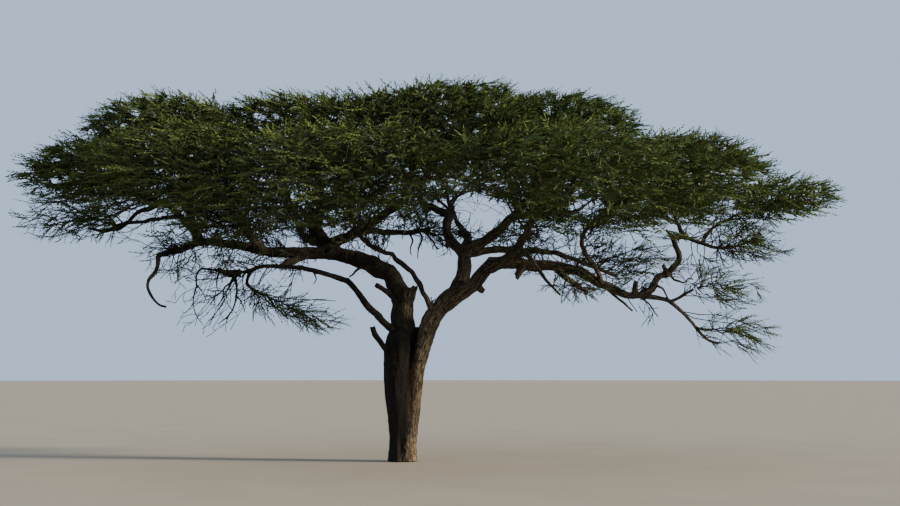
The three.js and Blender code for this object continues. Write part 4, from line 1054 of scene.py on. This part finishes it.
def innerBlades(curves, mass):
    count = int(innerLeaves["perTwig"] * len(curves["a"]) * mass["inner"])
    weight = np.where(curves["isShell"], 1, innerLeaves["insideWeight"])
    isOuter = (coverOver(curves["b"]) < 0.35) & (curves["b"][:, 2] > mass["middle"][2])
    weight = weight * np.where(isOuter, innerLeaves["outerWeight"], 1)
    edge = dice.choice(len(weight), count, p=weight / weight.sum())
    place = hermite(*endsOf(curves, edge), dice.random(count) * 0.97)
    cover = coverOver(place)
    rise = np.clip(outwardIn(mass, place)[:, 2], 0, 1)
    least = innerLeaves["cover"] - innerLeaves["atTop"] * rise + dice.normal(0, 0.03, count)
    keep = (cover > np.maximum(least, 0.005)) & ~isSky(place)
    place, bend, cover, rise = place[keep], curves["bend"][edge[keep]], cover[keep], rise[keep]
    way = unit(unit(dice.normal(size=place.shape) * [1, 1, 0.35]) + bend * [1.1, 1.1, 0.8])
    side = unit(np.cross(way, unit(dice.normal(size=place.shape) * [0.7, 0.7, 1])))
    deep = np.clip((cover - 0.12) / (innerLeaves["full"] - 0.12), 0, 1)
    size = innerLeaves["small"] + 0.2 * rise + (0.95 - innerLeaves["small"]) * deep
    length = (dice.uniform(*innerLeaves["length"], len(place)) * size)[:, None]
    half = side * (length * np.interp(deep, (0, 1), innerLeaves["width"])[:, None] / 2)
    belly = place + way * length * innerLeaves["belly"]
    return np.stack([place, belly + half, place + way * length, belly - half], axis=1)


# Growing the crown

twigParts, sideParts, bareParts, innerParts, siteParts = [], [], [], [], []
for mass in masses.values():
    curves = edgeCurves(growMass(mass), mass["wobble"])
    (twigParts if mass["leafy"] else bareParts).append(twigTubes(curves))
    if mass["leafy"]:
        siteParts.append(spraySites(curves, mass))
    if mass["inner"]:
        innerParts.append(innerBlades(curves, mass))
for name in limbs:
    if name not in boughTwigs["bare"]:
        curves = edgeCurves(boughTwigTree(name), 0.2)
        sideParts.append(twigTubes(curves))
        siteParts.append(boughTwigSites(curves))

sites = {key: np.concatenate([part[key] for part in siteParts]) for key in siteParts[0]}
isFree = ~isSky(sites["at"] + sites["way"] * sites["length"][:, None] / 2)
sites = {key: value[isFree] for key, value in sites.items()}
print(f"{len(sites['at'])} sprays")

# Tints dealt out by spray, the leaves' own greens mixed with painted light: lighter the more a spray looks up
# (young shoots on top, and painted top light) and faces the sun, painted sunlight towards the right, painted
# light by mass, and patches, with a few of each everywhere
tints = {"lookUp": (0.25, -0.1, 1.0), "paintedSunFromRight": 0.06, "patch": 0.45, "patchSize": 0.8, "chance": 0.33,
         "least": {"sunny": 0.95, "fresh": 0.45, "green": -0.15}}
light = (sites["outward"] @ tints["lookUp"] + tints["paintedSunFromRight"] * sites["at"][:, 0]
         + tints["patch"] * smoothNoise(sites["at"] / tints["patchSize"], 40) + sites["brighter"]
         + dice.normal(0, tints["chance"], len(sites["at"])))
tint = np.select([light > least for least in tints["least"].values()], list(tints["least"]), "deep")

leafyMasses = [name for name, mass in masses.items() if mass["leafy"]]
shootParts = []
# one piece for each tint; the tints mix the leaves' own greens with painted light and shade
for tone in ("deep", "green", "fresh", "sunny"):
    leaves, shoots = placeSprays({key: value[tint == tone] for key, value in sites.items()})
    shootParts.append(shoots)
    newPiece(tone + "Leaves1", newMesh(*leaves), grainMaterial(tone + "Leaves", leafTones[tone], leafGrain),
             leafyMasses, False)

blades = np.concatenate(innerParts)
# painted light and shade: inner leaves on the sunny right and at the left tip take the lighter tone, the rest
# the dark one
isLit = (blades[:, 0, 0] + 0.3 * blades[:, 0, 2] > 5.5) | (blades[:, 0, 0] < -8.6)
for number, tone, some in ((1, "inner", blades[~isLit]), (2, "shaded", blades[isLit])):
    newPiece(f"innerLeaves{number}", newMesh(*repeated(some, kiteFaces)),
             grainMaterial(tone + "Leaf", leafTones[tone], leafGrain), leafyMasses, False)

greenShoot = twigMaterial("greenShoot", shootTones)
twigBark = twigMaterial("twigBark", twigTones)
for name, parts, material, slot in (("shoots1", shootParts[::2], greenShoot, "foliage"),
                                    ("shoots2", shootParts[1::2], greenShoot, "foliage"),
                                    ("twigs1", twigParts, twigBark, "bark"),
                                    ("twigs2", sideParts, twigBark, "bark")):
    newPiece(name, newMesh(*joined(parts)), material, leafyMasses)
newPiece("bareTwigs", newMesh(*joined(bareParts)), twigMaterial("bareTwigBark", twigTones),
         ["left_hanging"])
print("crown done")


# Floor, light and camera

room = {
    "floorRadius": 420, "floor": (0.26, 0.23, 0.175), "sky": (0.54, 0.70, 0.94), "skyStrength": 1.0,
    "floorGrain": {"noise": (0.35, 3, 0.5), "reach": 0.2, "contrast": 0.05, "rough": (0, 1, 0.88, 0.94),
                   "specular": 0.2},
}
lamps = {
    "sun": {"way": (-0.942, 0.19, -0.275), "strength": 11, "colour": (1.0, 0.86, 0.66), "softness": 6},
    "fill": {"way": (0.3, 0.9, -0.35), "strength": 0.8, "colour": (1.0, 0.94, 0.76), "softness": 100},
}

rim = np.column_stack([*circle(96), np.zeros(96)]) * room["floorRadius"]
k = np.arange(96)
floor = placed("floor", newMesh(np.vstack([rim, 0 * up]), np.column_stack([k, np.roll(k, -1), 0 * k + 96])))
floor.data.materials.append(grainMaterial("paleFloor", room["floor"], room["floorGrain"]))
floor.location.z = -0.004

world = bpy.data.worlds.new("sky")
world.use_nodes = True
backdrop = world.node_tree.nodes["Background"]
backdrop.inputs["Color"].default_value = (*room["sky"], 1)
backdrop.inputs["Strength"].default_value = room["skyStrength"]
bpy.context.scene.world = world

for name, lamp in lamps.items():
    light = bpy.data.lights.new(name, "SUN")
    light.energy = lamp["strength"]
    light.color = lamp["colour"]
    light.angle = math.radians(lamp["softness"])
    placed(name, light).rotation_euler = Vector(lamp["way"]).to_track_quat("-Z", "Y").to_euler()

camera = placed("camera", bpy.data.cameras.new("camera"))
camera.data.lens = view["lens"]
camera.data.sensor_width = 36
camera.data.clip_end = 1500
camera.location = view["place"]
camera.rotation_euler = (math.pi / 2 + view["tilt"], 0, 0)
bpy.context.scene.camera = camera
print("floor, light and camera done")
